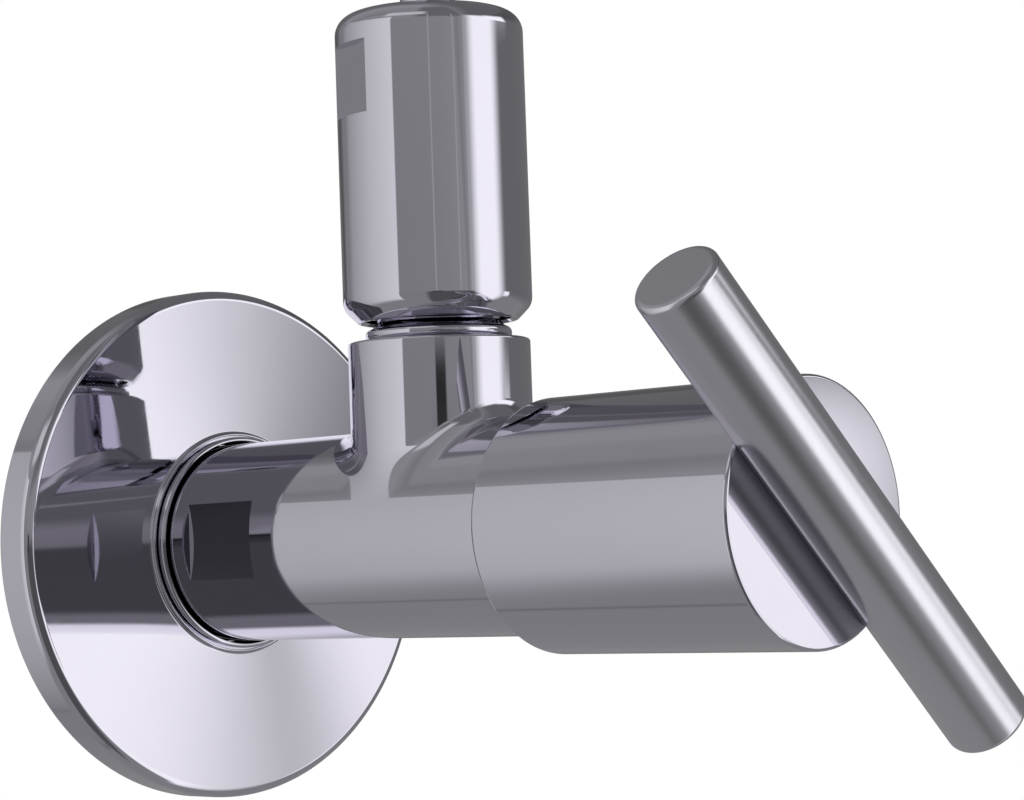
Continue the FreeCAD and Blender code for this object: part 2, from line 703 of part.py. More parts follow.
def stop_ring():
    """The splined ring whose lug meets the headwork's crown at both ends of the turn."""
    ring = turned(tube_section(STOP_RING_OUT, CROWN_TOP, 0, STOP_RING_R))
    lug = sector(STOP_RING_OUT, CROWN_TOP, STOP_RING_R - STOP_LUG_SUNK, STOP_LUG_R,
                 STOP_LUG_ANGLE, STOP_LUG_HALF_ANGLE)
    shape = ring.fuse(lug).removeSplitter()
    return shape.cut(spline(STOP_RING_OUT, CROWN_TOP, SPLINE_PLAY))


def spindle_circlip():
    end = CIRCLIP_OUT + CIRCLIP_THICKNESS
    ring = turned(tube_section(CIRCLIP_OUT, end, CIRCLIP_GROOVE_R + CIRCLIP_PLAY, CIRCLIP_R))
    mouth = sector(CIRCLIP_OUT, end, 0, CIRCLIP_R + CUT_PAST,
                   STOP_LUG_ANGLE + 180, CIRCLIP_MOUTH_ANGLE / 2)
    return ring.cut(mouth)


def spline_adapter():
    """The splined bush between the spindle and the hub, with a groove for the grub screw."""
    floor_half = GRUB_R + SCREW_CLEARANCE
    mouth_half = floor_half + ADAPTER_GROOVE_DEPTH
    floor_r = ADAPTER_R - ADAPTER_GROOVE_DEPTH
    shape = turned([
        (ADAPTER_BACK, 0, 0),
        (ADAPTER_BACK, ADAPTER_R, ADAPTER_ROUND),
        (GRUB_OUT - mouth_half, ADAPTER_R, 0),
        (GRUB_OUT - floor_half, floor_r, 0),
        (GRUB_OUT + floor_half, floor_r, 0),
        (GRUB_OUT + mouth_half, ADAPTER_R, 0),
        (ADAPTER_TOP, ADAPTER_R, ADAPTER_ROUND),
        (ADAPTER_TOP, 0, 0),
    ])
    shape = shape.cut(spline(ADAPTER_BACK, ADAPTER_TOP - ADAPTER_WEB, SPLINE_PLAY))
    hole_r = ADAPTER_SCREW_R + SCREW_CLEARANCE
    return shape.cut(turned(tube_section(ADAPTER_TOP - ADAPTER_WEB, ADAPTER_TOP, 0, hole_r)))


def adapter_screw():
    screw = socket_screw(ADAPTER_SCREW_R, ADAPTER_SCREW_LENGTH - SCREW_HOLE_SPARE, ADAPTER_SCREW_HEAD_R,
                         ADAPTER_SCREW_HEAD, KEY_SIZES["adapter_screw"])
    return place_along(screw, OUTWARD * ADAPTER_TOP, Y_AXIS)


def bar_rod(radius, length, rounding):
    """A straight rod on the cross-bar's line."""
    rod = Part.makeCylinder(radius, length, FreeCAD.Vector(0, 0, -length / 2))
    if rounding > 0:
        ends = [edge for edge in rod.Edges if len(edge.Vertexes) == 1]
        rod = rod.makeFillet(rounding, ends)
    return place_along(rod, OUTWARD * BAR_OUT, facing(BAR_ANGLE))


def bar_screw_seats():
    """The two points on the hub's inner floor where the bar's screws sit."""
    return [OUTWARD * BAR_HEAD_SEAT + facing(BAR_ANGLE) * (side * BAR_SCREW_OFFSET) for side in (-1, 1)]


def cross_bar():
    shape = bar_rod(BAR_R, BAR_LENGTH, BAR_ROUND)
    for seat in bar_screw_seats():
        hole = Part.makeCylinder(BAR_SCREW_R + SCREW_THREAD_FIT, BAR_SCREW_REACH + SCREW_HOLE_SPARE)
        shape = shape.cut(place_along(hole, seat, OUTWARD))
    return shape


def handle_hub():
    """The turned knob: a skirt over the body, a bore for the adapter and a saddle for the bar."""
    shape = turned([
        (HUB_BACK, BODY_R + HUB_SKIRT_GAP, HUB_MOUTH_ROUND),
        (HUB_BACK, HUB_R, HUB_BACK_ROUND),
        (HUB_FRONT - HUB_FRONT_CHAMFER, HUB_R, 0),
        (HUB_FRONT, HUB_R - HUB_FRONT_CHAMFER, 0),
        (HUB_FRONT, 0, 0),
        (HUB_FLOOR, 0, 0),
        (HUB_FLOOR, ADAPTER_R + ADAPTER_FIT, 0),
        (HUB_SKIRT_FLOOR, ADAPTER_R + ADAPTER_FIT, 0),
        (HUB_SKIRT_FLOOR, BODY_R + HUB_SKIRT_GAP, HUB_SKIRT_ROUND),
    ])
    shape = shape.cut(bar_rod(BAR_R + BAR_FIT, 3 * HUB_R, 0))
    for seat in bar_screw_seats():
        shank = Part.makeCylinder(BAR_SCREW_R + SCREW_CLEARANCE, HUB_FRONT_WALL)
        head = Part.makeCylinder(BAR_SCREW_HEAD_R + SCREW_CLEARANCE, BAR_SCREW_HEAD + CUT_PAST)
        shape = shape.cut(place_along(shank, seat, OUTWARD))
        shape = shape.cut(place_along(head, seat, Y_AXIS))
    hole = Part.makeCylinder(GRUB_R + SCREW_THREAD_FIT, HUB_R)
    return shape.cut(place_along(hole, OUTWARD * GRUB_OUT, facing(GRUB_ANGLE)))


def bar_screws():
    """Two like screws that hold the bar from inside the hub."""
    screw = socket_screw(BAR_SCREW_R, BAR_SCREW_REACH, BAR_SCREW_HEAD_R, BAR_SCREW_HEAD,
                         KEY_SIZES["bar_screw"])
    return Part.makeCompound([place_along(screw, seat, OUTWARD) for seat in bar_screw_seats()])


def grub_screw():
    """The set screw that locks the hub, with its tip in the adapter's groove."""
    body = Part.makeCylinder(GRUB_R, GRUB_LENGTH)
    ends = [edge for edge in body.Edges if len(edge.Vertexes) == 1]
    body = body.makeChamfer(GRUB_CHAMFER, ends)
    recess = key_recess(KEY_SIZES["grub"], GRUB_KEY_DEPTH)
    recess.translate(Z_AXIS * (GRUB_LENGTH - GRUB_KEY_DEPTH))
    start = ADAPTER_R - ADAPTER_GROOVE_DEPTH
    position = OUTWARD * GRUB_OUT + facing(GRUB_ANGLE) * start
    return place_along(body.cut(recess), position, facing(GRUB_ANGLE))


def outlet_nut():
    """The long sleeve nut over the outlet joint, with a spanner flat on each side."""
    thread_r = NECK_THREAD_R + THREAD_CLEARANCE
    shape = turned_upright([
        (NUT_BOTTOM, thread_r + NUT_THREAD_MOUTH, 0),
        (NUT_BOTTOM, NUT_R - NUT_FOOT_CHAMFER, NUT_FOOT_ROUND),
        (NUT_BOTTOM + NUT_FOOT_CHAMFER, NUT_R, NUT_FOOT_SHOULDER_ROUND),
        (NUT_TOP, NUT_R, NUT_TOP_ROUND),
        (NUT_TOP, TUBE_SOCKET_R, NUT_HOLE_ROUND),
        (NUT_CEILING, TUBE_SOCKET_R, 0),
        (NUT_CEILING, NUT_BORE_R, 0),
        (NUT_STEP_Z, NUT_BORE_R, 0),
        (NUT_STEP_Z, thread_r, 0),
        (NUT_BOTTOM + NUT_THREAD_MOUTH, thread_r, 0),
    ])
    for block in side_flats(NUT_R, NUT_FLAT_DEPTH, NUT_FLAT_BOTTOM, NUT_FLAT_HEIGHT, "upright"):
        block.rotate(ORIGIN, Z_AXIS, -NUT_FLAT_ANGLE)
        block.translate(BRANCH_FOOT)
        shape = shape.cut(block)
    return shape


def outlet_tube():
    return turned_upright([
        (TUBE_STOP_Z + TUBE_STOP_GAP, TUBE_BORE_R, 0),
        (TUBE_STOP_Z + TUBE_STOP_GAP, TUBE_R, TUBE_EDGE),
        (TUBE_TOP, TUBE_R, TUBE_EDGE),
        (TUBE_TOP, TUBE_BORE_R, 0),
    ])


def olive():
    """The brass ring that the sleeve presses onto the tube and into the neck's cone."""
    inner = TUBE_R + TUBE_FIT
    return turned_upright([
        (OLIVE_Z, inner, 0),
        (OLIVE_Z, inner + OLIVE_LIP / 4, 0),
        (OLIVE_MIDDLE, OLIVE_R, OLIVE_ROUND),
        (OLIVE_TOP, inner + OLIVE_LIP, 0),
        (OLIVE_TOP, inner, 0),
    ])


def thrust_sleeve():
    """The turned spool that carries the nut's thrust down to the olive."""
    inner = TUBE_SOCKET_R
    foot = OLIVE_MIDDLE + 2 * TUBE_FIT
    return turned_upright([
        (OLIVE_TOP, inner, 0),
        (OLIVE_TOP, TUBE_R + OLIVE_LIP + 2 * TUBE_FIT, 0),
        (foot, OLIVE_R + TUBE_FIT, 0),
        (foot, SLEEVE_R, SLEEVE_EDGE),
        (foot + SLEEVE_COLLAR, SLEEVE_R, SLEEVE_EDGE),
        (foot + SLEEVE_COLLAR, SLEEVE_WAIST_R, SLEEVE_WAIST_ROUND),
        (SLEEVE_TOP - SLEEVE_COLLAR, SLEEVE_WAIST_R, SLEEVE_WAIST_ROUND),
        (SLEEVE_TOP - SLEEVE_COLLAR, SLEEVE_R, SLEEVE_EDGE),
        (SLEEVE_TOP, SLEEVE_R, SLEEVE_EDGE),
        (SLEEVE_TOP, inner, 0),
    ])


def slip_washer():
    return turned_upright(tube_section(SLEEVE_TOP, NUT_CEILING, TUBE_SOCKET_R, SLEEVE_R))


def pieces():
    return {
        "valve_body": valve_body(),
        "wall_flange": wall_flange(),
        "flange_o_ring": flange_o_ring(),
        "seat_seal": seat_seal(),
        "fixed_disc": fixed_disc(),
        "moving_disc": moving_disc(),
        "cartridge_housing": cartridge_housing(),
        "cartridge_o_ring": cartridge_o_ring(),
        "thrust_washer": thrust_washer(),
        "spindle": spindle(),
        "spindle_o_ring_inner": spindle_o_ring(SPINDLE_RING_OUTS[0]),
        "spindle_o_ring_outer": spindle_o_ring(SPINDLE_RING_OUTS[1]),
        "stop_ring": stop_ring(),
        "spindle_circlip": spindle_circlip(),
        "spline_adapter": spline_adapter(),
        "adapter_screw": adapter_screw(),
        "handle_hub": handle_hub(),
        "cross_bar": cross_bar(),
        "bar_screws": bar_screws(),
        "grub_screw": grub_screw(),
        "outlet_nut": outlet_nut(),
        "outlet_tube": outlet_tube(),
        "olive": olive(),
        "thrust_sleeve": thrust_sleeve(),
        "slip_washer": slip_washer(),
    }


os.makedirs("parts", exist_ok=True)
for name, shape in pieces().items():
    shape.exportStep(os.path.join("parts", name + ".step"))
    print(name, "solids", len(shape.Solids), "valid", shape.isValid(), "volume", round(shape.Volume, 1))
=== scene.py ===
import json
import math

import bpy
import numpy as np
from bpy.props import FloatProperty, FloatVectorProperty, PointerProperty
from mathutils import Matrix, Vector


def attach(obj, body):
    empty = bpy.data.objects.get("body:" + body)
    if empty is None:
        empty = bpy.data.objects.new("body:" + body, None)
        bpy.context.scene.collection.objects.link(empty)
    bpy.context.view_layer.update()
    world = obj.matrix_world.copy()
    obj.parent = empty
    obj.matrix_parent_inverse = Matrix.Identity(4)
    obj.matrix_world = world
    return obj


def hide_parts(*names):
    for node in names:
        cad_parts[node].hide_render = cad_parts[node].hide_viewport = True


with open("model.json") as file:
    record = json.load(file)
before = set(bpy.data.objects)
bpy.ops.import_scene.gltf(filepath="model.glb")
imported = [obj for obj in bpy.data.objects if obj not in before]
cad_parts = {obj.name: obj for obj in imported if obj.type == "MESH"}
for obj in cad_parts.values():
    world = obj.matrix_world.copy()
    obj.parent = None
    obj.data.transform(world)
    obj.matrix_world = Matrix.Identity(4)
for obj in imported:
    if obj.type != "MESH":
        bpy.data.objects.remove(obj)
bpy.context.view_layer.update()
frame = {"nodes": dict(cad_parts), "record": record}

bl_info = {
    "name": "Angle stop valve",
    "version": (1, 0, 0),
    "blender": (4, 5, 0),
    "location": "3D View > Sidebar > Stop valve",
    "description": "Dresses a wall-mounted angle stop valve with polished and satin metal pieces",
    "category": "Object",
}

TOP = math.pi / 2

# How finely the round pieces are made, and how near two points count as one.
COLUMNS = 192
SWEEP_COLUMNS = 240
ARC_STEP = math.radians(7.5)
WELD = 1e-6
SAME_POINT = 1e-9
LEAST_LENGTH = 1e-12

# A face takes a surface's exact direction when it lies this near to the surface and is turned
# no further away from it. The weight sets how much a turn counts against a distance.
NEAR_SURFACE = 3e-5
MOST_TURN = math.radians(9)
TURN_WEIGHT = 1e-3
ON_AXIS = 1e-7
ARC_SLACK = 0.12

# Sizes inside the tee that its walls share.
FLAT_MIDDLES = (0.0, math.pi)
CHAMBER_RADIUS = 0.0079
BRANCH_BORE_RADIUS = 0.005
OUTER_CROSSING_REACH = 0.016
OUTER_CROSSING_TOP = 0.018
INNER_CROSSING = (0.0345, 0.0535)
INNER_CROSSING_TOP = 0.012

# Sizes that two pieces share.
COLLAR_GAP = 0.00035
TUBE_GAP = 0.00015
TUBE_WALL = 0.0008
NECK_RING_HEIGHT = 0.0015
NECK_RELIEF_HEIGHT = 0.0013
BAR_SCREW_OFFSET = 0.0054


class ValveSizes(bpy.types.PropertyGroup):
    """Sizes of the valve's visible pieces."""

    body_radius: FloatProperty(
        name="Body radius", description="Outside radius of the body's level tube",
        default=0.012, unit="LENGTH")
    body_front: FloatProperty(
        name="Body front", description="Distance from the wall to the body's open front",
        default=0.068, unit="LENGTH")
    body_edge: FloatProperty(
        name="Body edge", description="Rounding of the body's two ends",
        default=0.0005, unit="LENGTH")
    body_flat_depth: FloatProperty(
        name="Body flat depth", description="Depth of the spanner flats behind the branch",
        default=0.00087, unit="LENGTH")
    body_flat_start: FloatProperty(
        name="Body flat start", description="Distance from the wall to the spanner flats",
        default=0.0103, unit="LENGTH")
    body_flat_length: FloatProperty(
        name="Body flat length", description="Length of the spanner flats along the body",
        default=0.0117, unit="LENGTH")
    body_flat_lean: FloatProperty(
        name="Body flat lean", description="Lean of the flats' end walls, as run over rise",
        default=0.36)
    branch_out: FloatProperty(
        name="Branch distance", description="Distance from the wall to the outlet's axis",
        default=0.0426, unit="LENGTH")
    branch_radius: FloatProperty(
        name="Branch radius", description="Outside radius of the upright branch",
        default=0.0104, unit="LENGTH")
    branch_top: FloatProperty(
        name="Branch top", description="Height of the branch's shoulder above the valve axis",
        default=0.02165, unit="LENGTH")
    saddle_width: FloatProperty(
        name="Saddle width",
        description="Width of the rounded joint in front of and behind the branch",
        default=0.0025, unit="LENGTH")
    saddle_side_width: FloatProperty(
        name="Saddle side width",
        description="Width of the rounded joint at the branch's two sides",
        default=0.0031, unit="LENGTH")
    saddle_side_rise: FloatProperty(
        name="Saddle side rise",
        description="Rise of the joint up the branch's sides, as a share of a round one",
        default=0.28, min=0.1, max=1.0, subtype="FACTOR")
    inlet_end: FloatProperty(
        name="Inlet end", description="Reach of the threaded nipple into the wall",
        default=0.014, unit="LENGTH")
    inlet_major: FloatProperty(
        name="Inlet thread radius", description="Major radius of the 1/2 inch pipe thread",
        default=0.01048, unit="LENGTH")
    inlet_minor: FloatProperty(
        name="Inlet root radius", description="Root radius of the 1/2 inch pipe thread",
        default=0.00932, unit="LENGTH")
    inlet_pitch: FloatProperty(
        name="Inlet pitch", description="Pitch of the 1/2 inch pipe thread",
        default=0.001814, unit="LENGTH")
    neck_major: FloatProperty(
        name="Neck thread radius", description="Major radius of the 3/8 inch pipe thread",
        default=0.00833, unit="LENGTH")
    neck_minor: FloatProperty(
        name="Neck root radius", description="Root radius of the 3/8 inch pipe thread",
        default=0.00747, unit="LENGTH")
    neck_pitch: FloatProperty(
        name="Neck pitch", description="Pitch of the 3/8 inch pipe thread",
        default=0.001337, unit="LENGTH")
    neck_height: FloatProperty(
        name="Neck thread length", description="Length of the neck's thread",
        default=0.0096, unit="LENGTH")
    flange_radius: FloatProperty(
        name="Flange radius", description="Outside radius of the wall flange",
        default=0.031, unit="LENGTH")
    flange_rim: FloatProperty(
        name="Flange rim", description="Distance from the wall to the edge of the flange's face",
        default=0.0052, unit="LENGTH")
    flange_crown: FloatProperty(
        name="Flange crown", description="Rise of the flange's face from its edge to the collar",
        default=0.0007, unit="LENGTH")
    flange_round: FloatProperty(
        name="Flange round", description="Rounding of the flange's outer edge",
        default=0.0013, unit="LENGTH")
    collar_height: FloatProperty(
        name="Collar height", description="Height of the stepped collar above the flange's face",
        default=0.0015, unit="LENGTH")
    nut_radius: FloatProperty(
        name="Nut radius", description="Outside radius of the long sleeve nut",
        default=0.0108, unit="LENGTH")
    nut_bottom: FloatProperty(
        name="Nut bottom", description="Height of the nut's foot above the valve axis",
        default=0.0239, unit="LENGTH")
    nut_top: FloatProperty(
        name="Nut top", description="Height of the nut's crown above the valve axis",
        default=0.0593, unit="LENGTH")
    nut_top_round: FloatProperty(
        name="Nut top round", description="Rounding of the nut's crown",
        default=0.0024, unit="LENGTH")
    nut_foot_chamfer: FloatProperty(
        name="Nut foot chamfer", description="Size of the rounded chamfer at the nut's foot",
        default=0.0017, unit="LENGTH")
    nut_flat_depth: FloatProperty(
        name="Nut flat depth", description="Depth of the nut's spanner flats",
        default=0.00079, unit="LENGTH")
    nut_flat_turn: FloatProperty(
        name="Nut flat turn", description="Turn of the nut's flats away from the body's sides",
        default=math.radians(-18.0), subtype="ANGLE")
    tube_radius: FloatProperty(
        name="Tube radius", description="Outside radius of the outlet tube",
        default=0.003175, unit="LENGTH")
    tube_top: FloatProperty(
        name="Tube top", description="Height of the outlet tube's end",
        default=0.072, unit="LENGTH")
    hub_radius: FloatProperty(
        name="Knob radius", description="Outside radius of the turned knob",
        default=0.014, unit="LENGTH")
    hub_back: FloatProperty(
        name="Knob back", description="Distance from the wall to the knob's skirt",
        default=0.0607, unit="LENGTH")
    hub_front: FloatProperty(
        name="Knob front", description="Distance from the wall to the knob's face",
        default=0.0964, unit="LENGTH")
    hub_edge: FloatProperty(
        name="Knob edge", description="Rounding of the edge round the knob's face",
        default=0.0004, unit="LENGTH")
    bar_radius: FloatProperty(
        name="Bar radius", description="Radius of the satin cross bar",
        default=0.0046, unit="LENGTH")
    bar_length: FloatProperty(
        name="Bar length", description="Length of the cross bar",
        default=0.065, unit="LENGTH")
    bar_round: FloatProperty(
        name="Bar end round", description="Rounding of the bar's ends",
        default=0.0007, unit="LENGTH")
    bar_sunk: FloatProperty(
        name="Bar seat depth", description="Depth of the bar's seat in the knob's face",
        default=0.00165, unit="LENGTH")
    bar_turn: FloatProperty(
        name="Bar turn", description="Lean of the bar from upright, to the left as one faces it",
        default=math.radians(46.5), subtype="ANGLE")


class ValveFinish(bpy.types.PropertyGroup):
    """Colours and finishes of the valve's metals and seals."""

    chrome: FloatVectorProperty(
        name="Chrome", description="Tint of the polished chrome plate",
        default=(0.66, 0.64, 0.72), subtype="COLOR", min=0.0, max=1.0)
    chrome_roughness: FloatProperty(
        name="Chrome roughness", description="Mean roughness of the polished plate",
        default=0.03, min=0.0, max=1.0, subtype="FACTOR")
    satin: FloatVectorProperty(
        name="Satin bar", description="Tint of the satin bar",
        default=(0.75, 0.73, 0.80), subtype="COLOR", min=0.0, max=1.0)
    satin_roughness: FloatProperty(
        name="Satin roughness", description="Mean roughness of the satin bar",
        default=0.22, min=0.0, max=1.0, subtype="FACTOR")
    brass: FloatVectorProperty(
        name="Brass", description="Colour of the turned brass pieces",
        default=(0.78, 0.57, 0.27), subtype="COLOR", min=0.0, max=1.0)
    ceramic: FloatVectorProperty(
        name="Ceramic", description="Colour of the lapped discs",
        default=(0.86, 0.84, 0.78), subtype="COLOR", min=0.0, max=1.0)
    rubber: FloatVectorProperty(
        name="Rubber", description="Colour of the rings and seals",
        default=(0.018, 0.018, 0.02), subtype="COLOR", min=0.0, max=1.0)
    steel: FloatVectorProperty(
        name="Screw steel", description="Colour of the screws and the circlip",
        default=(0.56, 0.55, 0.54), subtype="COLOR", min=0.0, max=1.0)
    plastic: FloatVectorProperty(
        name="Washer plastic", description="Colour of the moulded washers",
        default=(0.80, 0.80, 0.77), subtype="COLOR", min=0.0, max=1.0)


class ValveStudio(bpy.types.PropertyGroup):
    """The camera, the floor and the light."""

    camera_place: FloatVectorProperty(
        name="Camera place", description="Where the camera stands",
        default=(-0.22806, -0.27972, -0.00541), subtype="XYZ", unit="LENGTH")
    camera_yaw: FloatProperty(
        name="Camera yaw", description="Level turn of the view from the wall's normal",
        default=math.radians(45.288), subtype="ANGLE")
    camera_pitch: FloatProperty(
        name="Camera pitch", description="Upward tilt of the view",
        default=math.radians(3.497), subtype="ANGLE")
    camera_roll: FloatProperty(
        name="Camera roll", description="Roll of the picture",
        default=math.radians(-2.033), subtype="ANGLE")
    lens: FloatProperty(
        name="Lens", description="Focal length on a frame 36 mm wide",
        default=101.73, unit="CAMERA")
    floor_drop: FloatProperty(
        name="Floor drop", description="Distance from the valve axis down to the floor",
        default=0.16, unit="LENGTH")
    floor_colour: FloatVectorProperty(
        name="Floor colour", description="Colour of the plain floor",
        default=(0.90, 0.90, 0.90), subtype="COLOR", min=0.0, max=1.0)


class Axis:
    """A line with two directions across it: a point is (along, radius, angle)."""

    def __init__(self, origin, along, across, up):
        self.origin = np.array(origin, float)
        self.along = np.array(along, float)
        self.across = np.array(across, float)
        self.up = np.array(up, float)

    def round_direction(self, angle):
        """Straight away from the line, at each angle."""
        angle = np.asarray(angle, float)[..., None]
        return self.across * np.cos(angle) + self.up * np.sin(angle)

    def point(self, along, radius, angle):
        """Points in the frame."""
        along = np.asarray(along, float)[..., None]
        radius = np.asarray(radius, float)[..., None]
        return self.origin + self.along * along + self.round_direction(angle) * radius

    def direction(self, along, radius, angle):
        """Directions in the frame, with a share along the line and a share away from it."""
        along = np.asarray(along, float)[..., None]
        radius = np.asarray(radius, float)[..., None]
        return self.along * along + self.round_direction(angle) * radius

    def coordinates(self, points):
        """(along, radius, angle) of points."""
        away = points - self.origin
        along = away @ self.along
        across = away @ self.across
        up = away @ self.up
        return along, np.hypot(across, up), np.arctan2(up, across)

    def matrix(self):
        """The placement that takes +Z to the line and +X to the direction across."""
        third = np.cross(self.along, self.across)
        rows = [list(row) + [place] for row, place in zip(
            np.array([self.across, third, self.along]).T, self.origin)]
        return Matrix(rows + [[0, 0, 0, 1]])


class Section:
    """Corners (along, radius, rounding) made into straight runs and arcs with exact directions."""

    def __init__(self, corners, closed=True):
        points = np.array([corner[:2] for corner in corners], float)
        count = len(points)
        ahead = np.roll(points, -1, axis=0)
        area = np.sum(points[:, 0] * ahead[:, 1] - ahead[:, 0] * points[:, 1]) / 2
        self.side = 1.0 if area > 0 or not closed else -1.0
        self.runs = []
        starts = []
        ends = []
        arcs = []
        for index in range(count):
            here = points[index]
            rounding = corners[index][2]
            at_end = not closed and index in (0, count - 1)
            if rounding == 0 or at_end:
                starts.append(here)
                ends.append(here)
                arcs.append(None)
                continue
            back = unit(points[index - 1] - here)
            forth = unit(points[(index + 1) % count] - here)
            half = math.acos(max(-1.0, min(1.0, float(back @ forth)))) / 2
            reach = rounding / math.tan(half)
            centre = here + unit(back + forth) * (rounding / math.sin(half))
            starts.append(here + back * reach)
            ends.append(here + forth * reach)
            arcs.append((centre, math.pi - 2 * half))
        for index in range(count):
            if arcs[index] is not None:
                self.add_arc(starts[index], ends[index], *arcs[index])
            following = (index + 1) % count
            if following == 0 and not closed:
                break
            if np.linalg.norm(ends[index] - starts[following]) > SAME_POINT:
                self.add_line(ends[index], starts[following])

    def add_line(self, start, end):
        """A straight run between two corners."""
        run = unit(end - start)
        normal = np.array([run[1], -run[0]]) * self.side
        self.runs.append(straight_run(start, end, normal))

    def add_arc(self, start, end, centre, sweep):
        """The rounding of a corner."""
        steps = max(2, int(math.ceil(sweep / ARC_STEP)))
        first = unit(start - centre)
        last = unit(end - centre)
        angle = math.acos(max(-1.0, min(1.0, float(first @ last))))
        shares = np.linspace(0, 1, steps + 1)[:, None]
        directions = np.sin((1 - shares) * angle) * first + np.sin(shares * angle) * last
        directions /= math.sin(angle)
        radius = np.linalg.norm(start - centre)
        tangent = unit(end - start)
        outward = np.array([tangent[1], -tangent[0]]) * self.side
        sign = 1.0 if outward @ (first + last) > 0 else -1.0
        self.runs.append({"points": centre + directions * radius, "normals": directions * sign,
                          "centre": centre, "sign": sign})

    def loop(self):
        """The closed outline without repeated points."""
        points = np.concatenate([run["points"] for run in self.runs])
        kept = [points[0]]
        for point in points[1:]:
            if np.linalg.norm(point - kept[-1]) > SAME_POINT:
                kept.append(point)
        if np.linalg.norm(kept[0] - kept[-1]) < SAME_POINT:
            kept.pop()
        return np.array(kept)


def unit(vector):
    """The same direction, one long."""
    vector = np.asarray(vector, float)
    return vector / np.linalg.norm(vector)


def straight_run(start, stop, normal):
    """A straight run of a section between two points (along, radius)."""
    return {"points": np.array([start, stop]), "normals": np.array([normal, normal]),
            "centre": None, "sign": 1.0}


def round_band(start, stop, radius, way):
    """A straight run at one radius, facing out or in."""
    return straight_run((start, radius), (stop, radius), (0.0, way))


class Skin:
    """Grids of exact points and directions that are welded into one closed mesh."""

    def __init__(self):
        self.points = []
        self.normals = []
        self.quads = []
        self.count = 0

    def grid(self, points, normals):
        """Adds a grid of points, with its faces turned the way its directions point."""
        rows, columns = points.shape[:2]
        index = np.arange(rows * columns).reshape(rows, columns) + self.count
        quads = np.stack([index[:-1, :-1], index[1:, :-1], index[1:, 1:], index[:-1, 1:]], axis=-1)
        first = points[1:, 1:] - points[:-1, :-1]
        second = points[:-1, 1:] - points[1:, :-1]
        facing = np.cross(first, second)
        middle = normals[:-1, :-1] + normals[1:, 1:] + normals[1:, :-1] + normals[:-1, 1:]
        if np.sum(facing * middle) < 0:
            quads = quads[:, :, ::-1]
        self.points.append(points.reshape(-1, 3))
        self.normals.append(normals.reshape(-1, 3))
        self.quads.append(quads.reshape(-1, 4))
        self.count += rows * columns

    def turn(self, axis, run, angles):
        """A run of a section turned about an axis."""
        along = run["points"][:, :1]
        radius = run["points"][:, 1:]
        self.grid(axis.point(along + 0 * angles, radius + 0 * angles, angles + 0 * along),
                  axis.direction(run["normals"][:, :1] + 0 * angles,
                                 run["normals"][:, 1:] + 0 * angles, angles + 0 * along))

    def object(self, name):
        """Welds the grids into one object with exact directions at its corners."""
        points = np.concatenate(self.points)
        normals = np.concatenate(self.normals)
        quads = np.concatenate(self.quads)
        keys = np.round(points / WELD).astype(np.int64)
        _, first, welded = np.unique(keys, axis=0, return_index=True, return_inverse=True)
        welded = welded.reshape(-1)
        faces = []
        corner_normals = []
        for quad in quads:
            corners = []
            for corner in quad:
                if not corners or welded[corner] != welded[corners[-1]]:
                    corners.append(corner)
            if len(corners) > 1 and welded[corners[0]] == welded[corners[-1]]:
                corners.pop()
            if len(corners) < 3 or len({int(welded[c]) for c in corners}) < len(corners):
                continue
            faces.append([int(welded[c]) for c in corners])
            corner_normals.extend(normals[c] for c in corners)
        mesh = bpy.data.meshes.new(name)
        mesh.from_pydata([tuple(p) for p in points[first]], [], faces)
        mesh.polygons.foreach_set("use_smooth", [True] * len(mesh.polygons))
        mesh.normals_split_custom_set([tuple(n) for n in corner_normals])
        return new_object(name, mesh)


def new_object(name, data):
    """An object in the scene for a mesh or a camera, at the origin."""
    piece = bpy.data.objects.new(name, data)
    bpy.context.scene.collection.objects.link(piece)
    return piece


def polish(piece, surfaces):
    """Gives each corner the exact direction of the turned surface that its face lies on."""
    mesh = piece.data
    corners = np.empty(len(mesh.loops), np.int32)
    mesh.loops.foreach_get("vertex_index", corners)
    places = read_vectors(mesh.vertices, "co")
    centres = read_vectors(mesh.polygons, "center")
    facings = read_vectors(mesh.polygons, "normal")
    totals = np.empty(len(mesh.polygons), np.int32)
    mesh.polygons.foreach_get("loop_total", totals)
    owner = np.repeat(np.arange(len(totals)), totals)
    normals = facings[owner].copy()
    best = np.full(len(centres), np.inf)
    for runs, axis in surfaces:
        along, radius, angle = axis.coordinates(centres)
        flat = np.stack([along, radius], axis=1)
        corner_along, corner_radius, corner_angle = axis.coordinates(places[corners])
        on_axis = corner_radius < ON_AXIS
        corner_angle[on_axis] = angle[owner][on_axis]
        corner_flat = np.stack([corner_along, corner_radius], axis=1)
        for run in runs:
            away, normal = near_run(run, flat)
            turned = axis.direction(normal[:, 0], normal[:, 1], angle)
            agree = np.sum(turned * facings, axis=1)
            score = away + (1 - agree) * TURN_WEIGHT
            fits = (away < NEAR_SURFACE) & (agree > math.cos(MOST_TURN)) & (score < best)
            best[fits] = score[fits]
            mine = fits[owner]
            _, normal = near_run(run, corner_flat[mine])
            normals[mine] = axis.direction(normal[:, 0], normal[:, 1], corner_angle[mine])
    mesh.polygons.foreach_set("use_smooth", [True] * len(mesh.polygons))
    mesh.normals_split_custom_set([tuple(n) for n in normals])


def read_vectors(items, name):
    """A vector property of every item of a mesh's list."""
    values = np.empty(len(items) * 3)
    items.foreach_get(name, values)
    return values.reshape(-1, 3)


def bore_runs(radius):
    """The inward facing wall of a plain round cut."""
    reach = 1.0
    return [round_band(-reach, reach, radius, -1.0)]


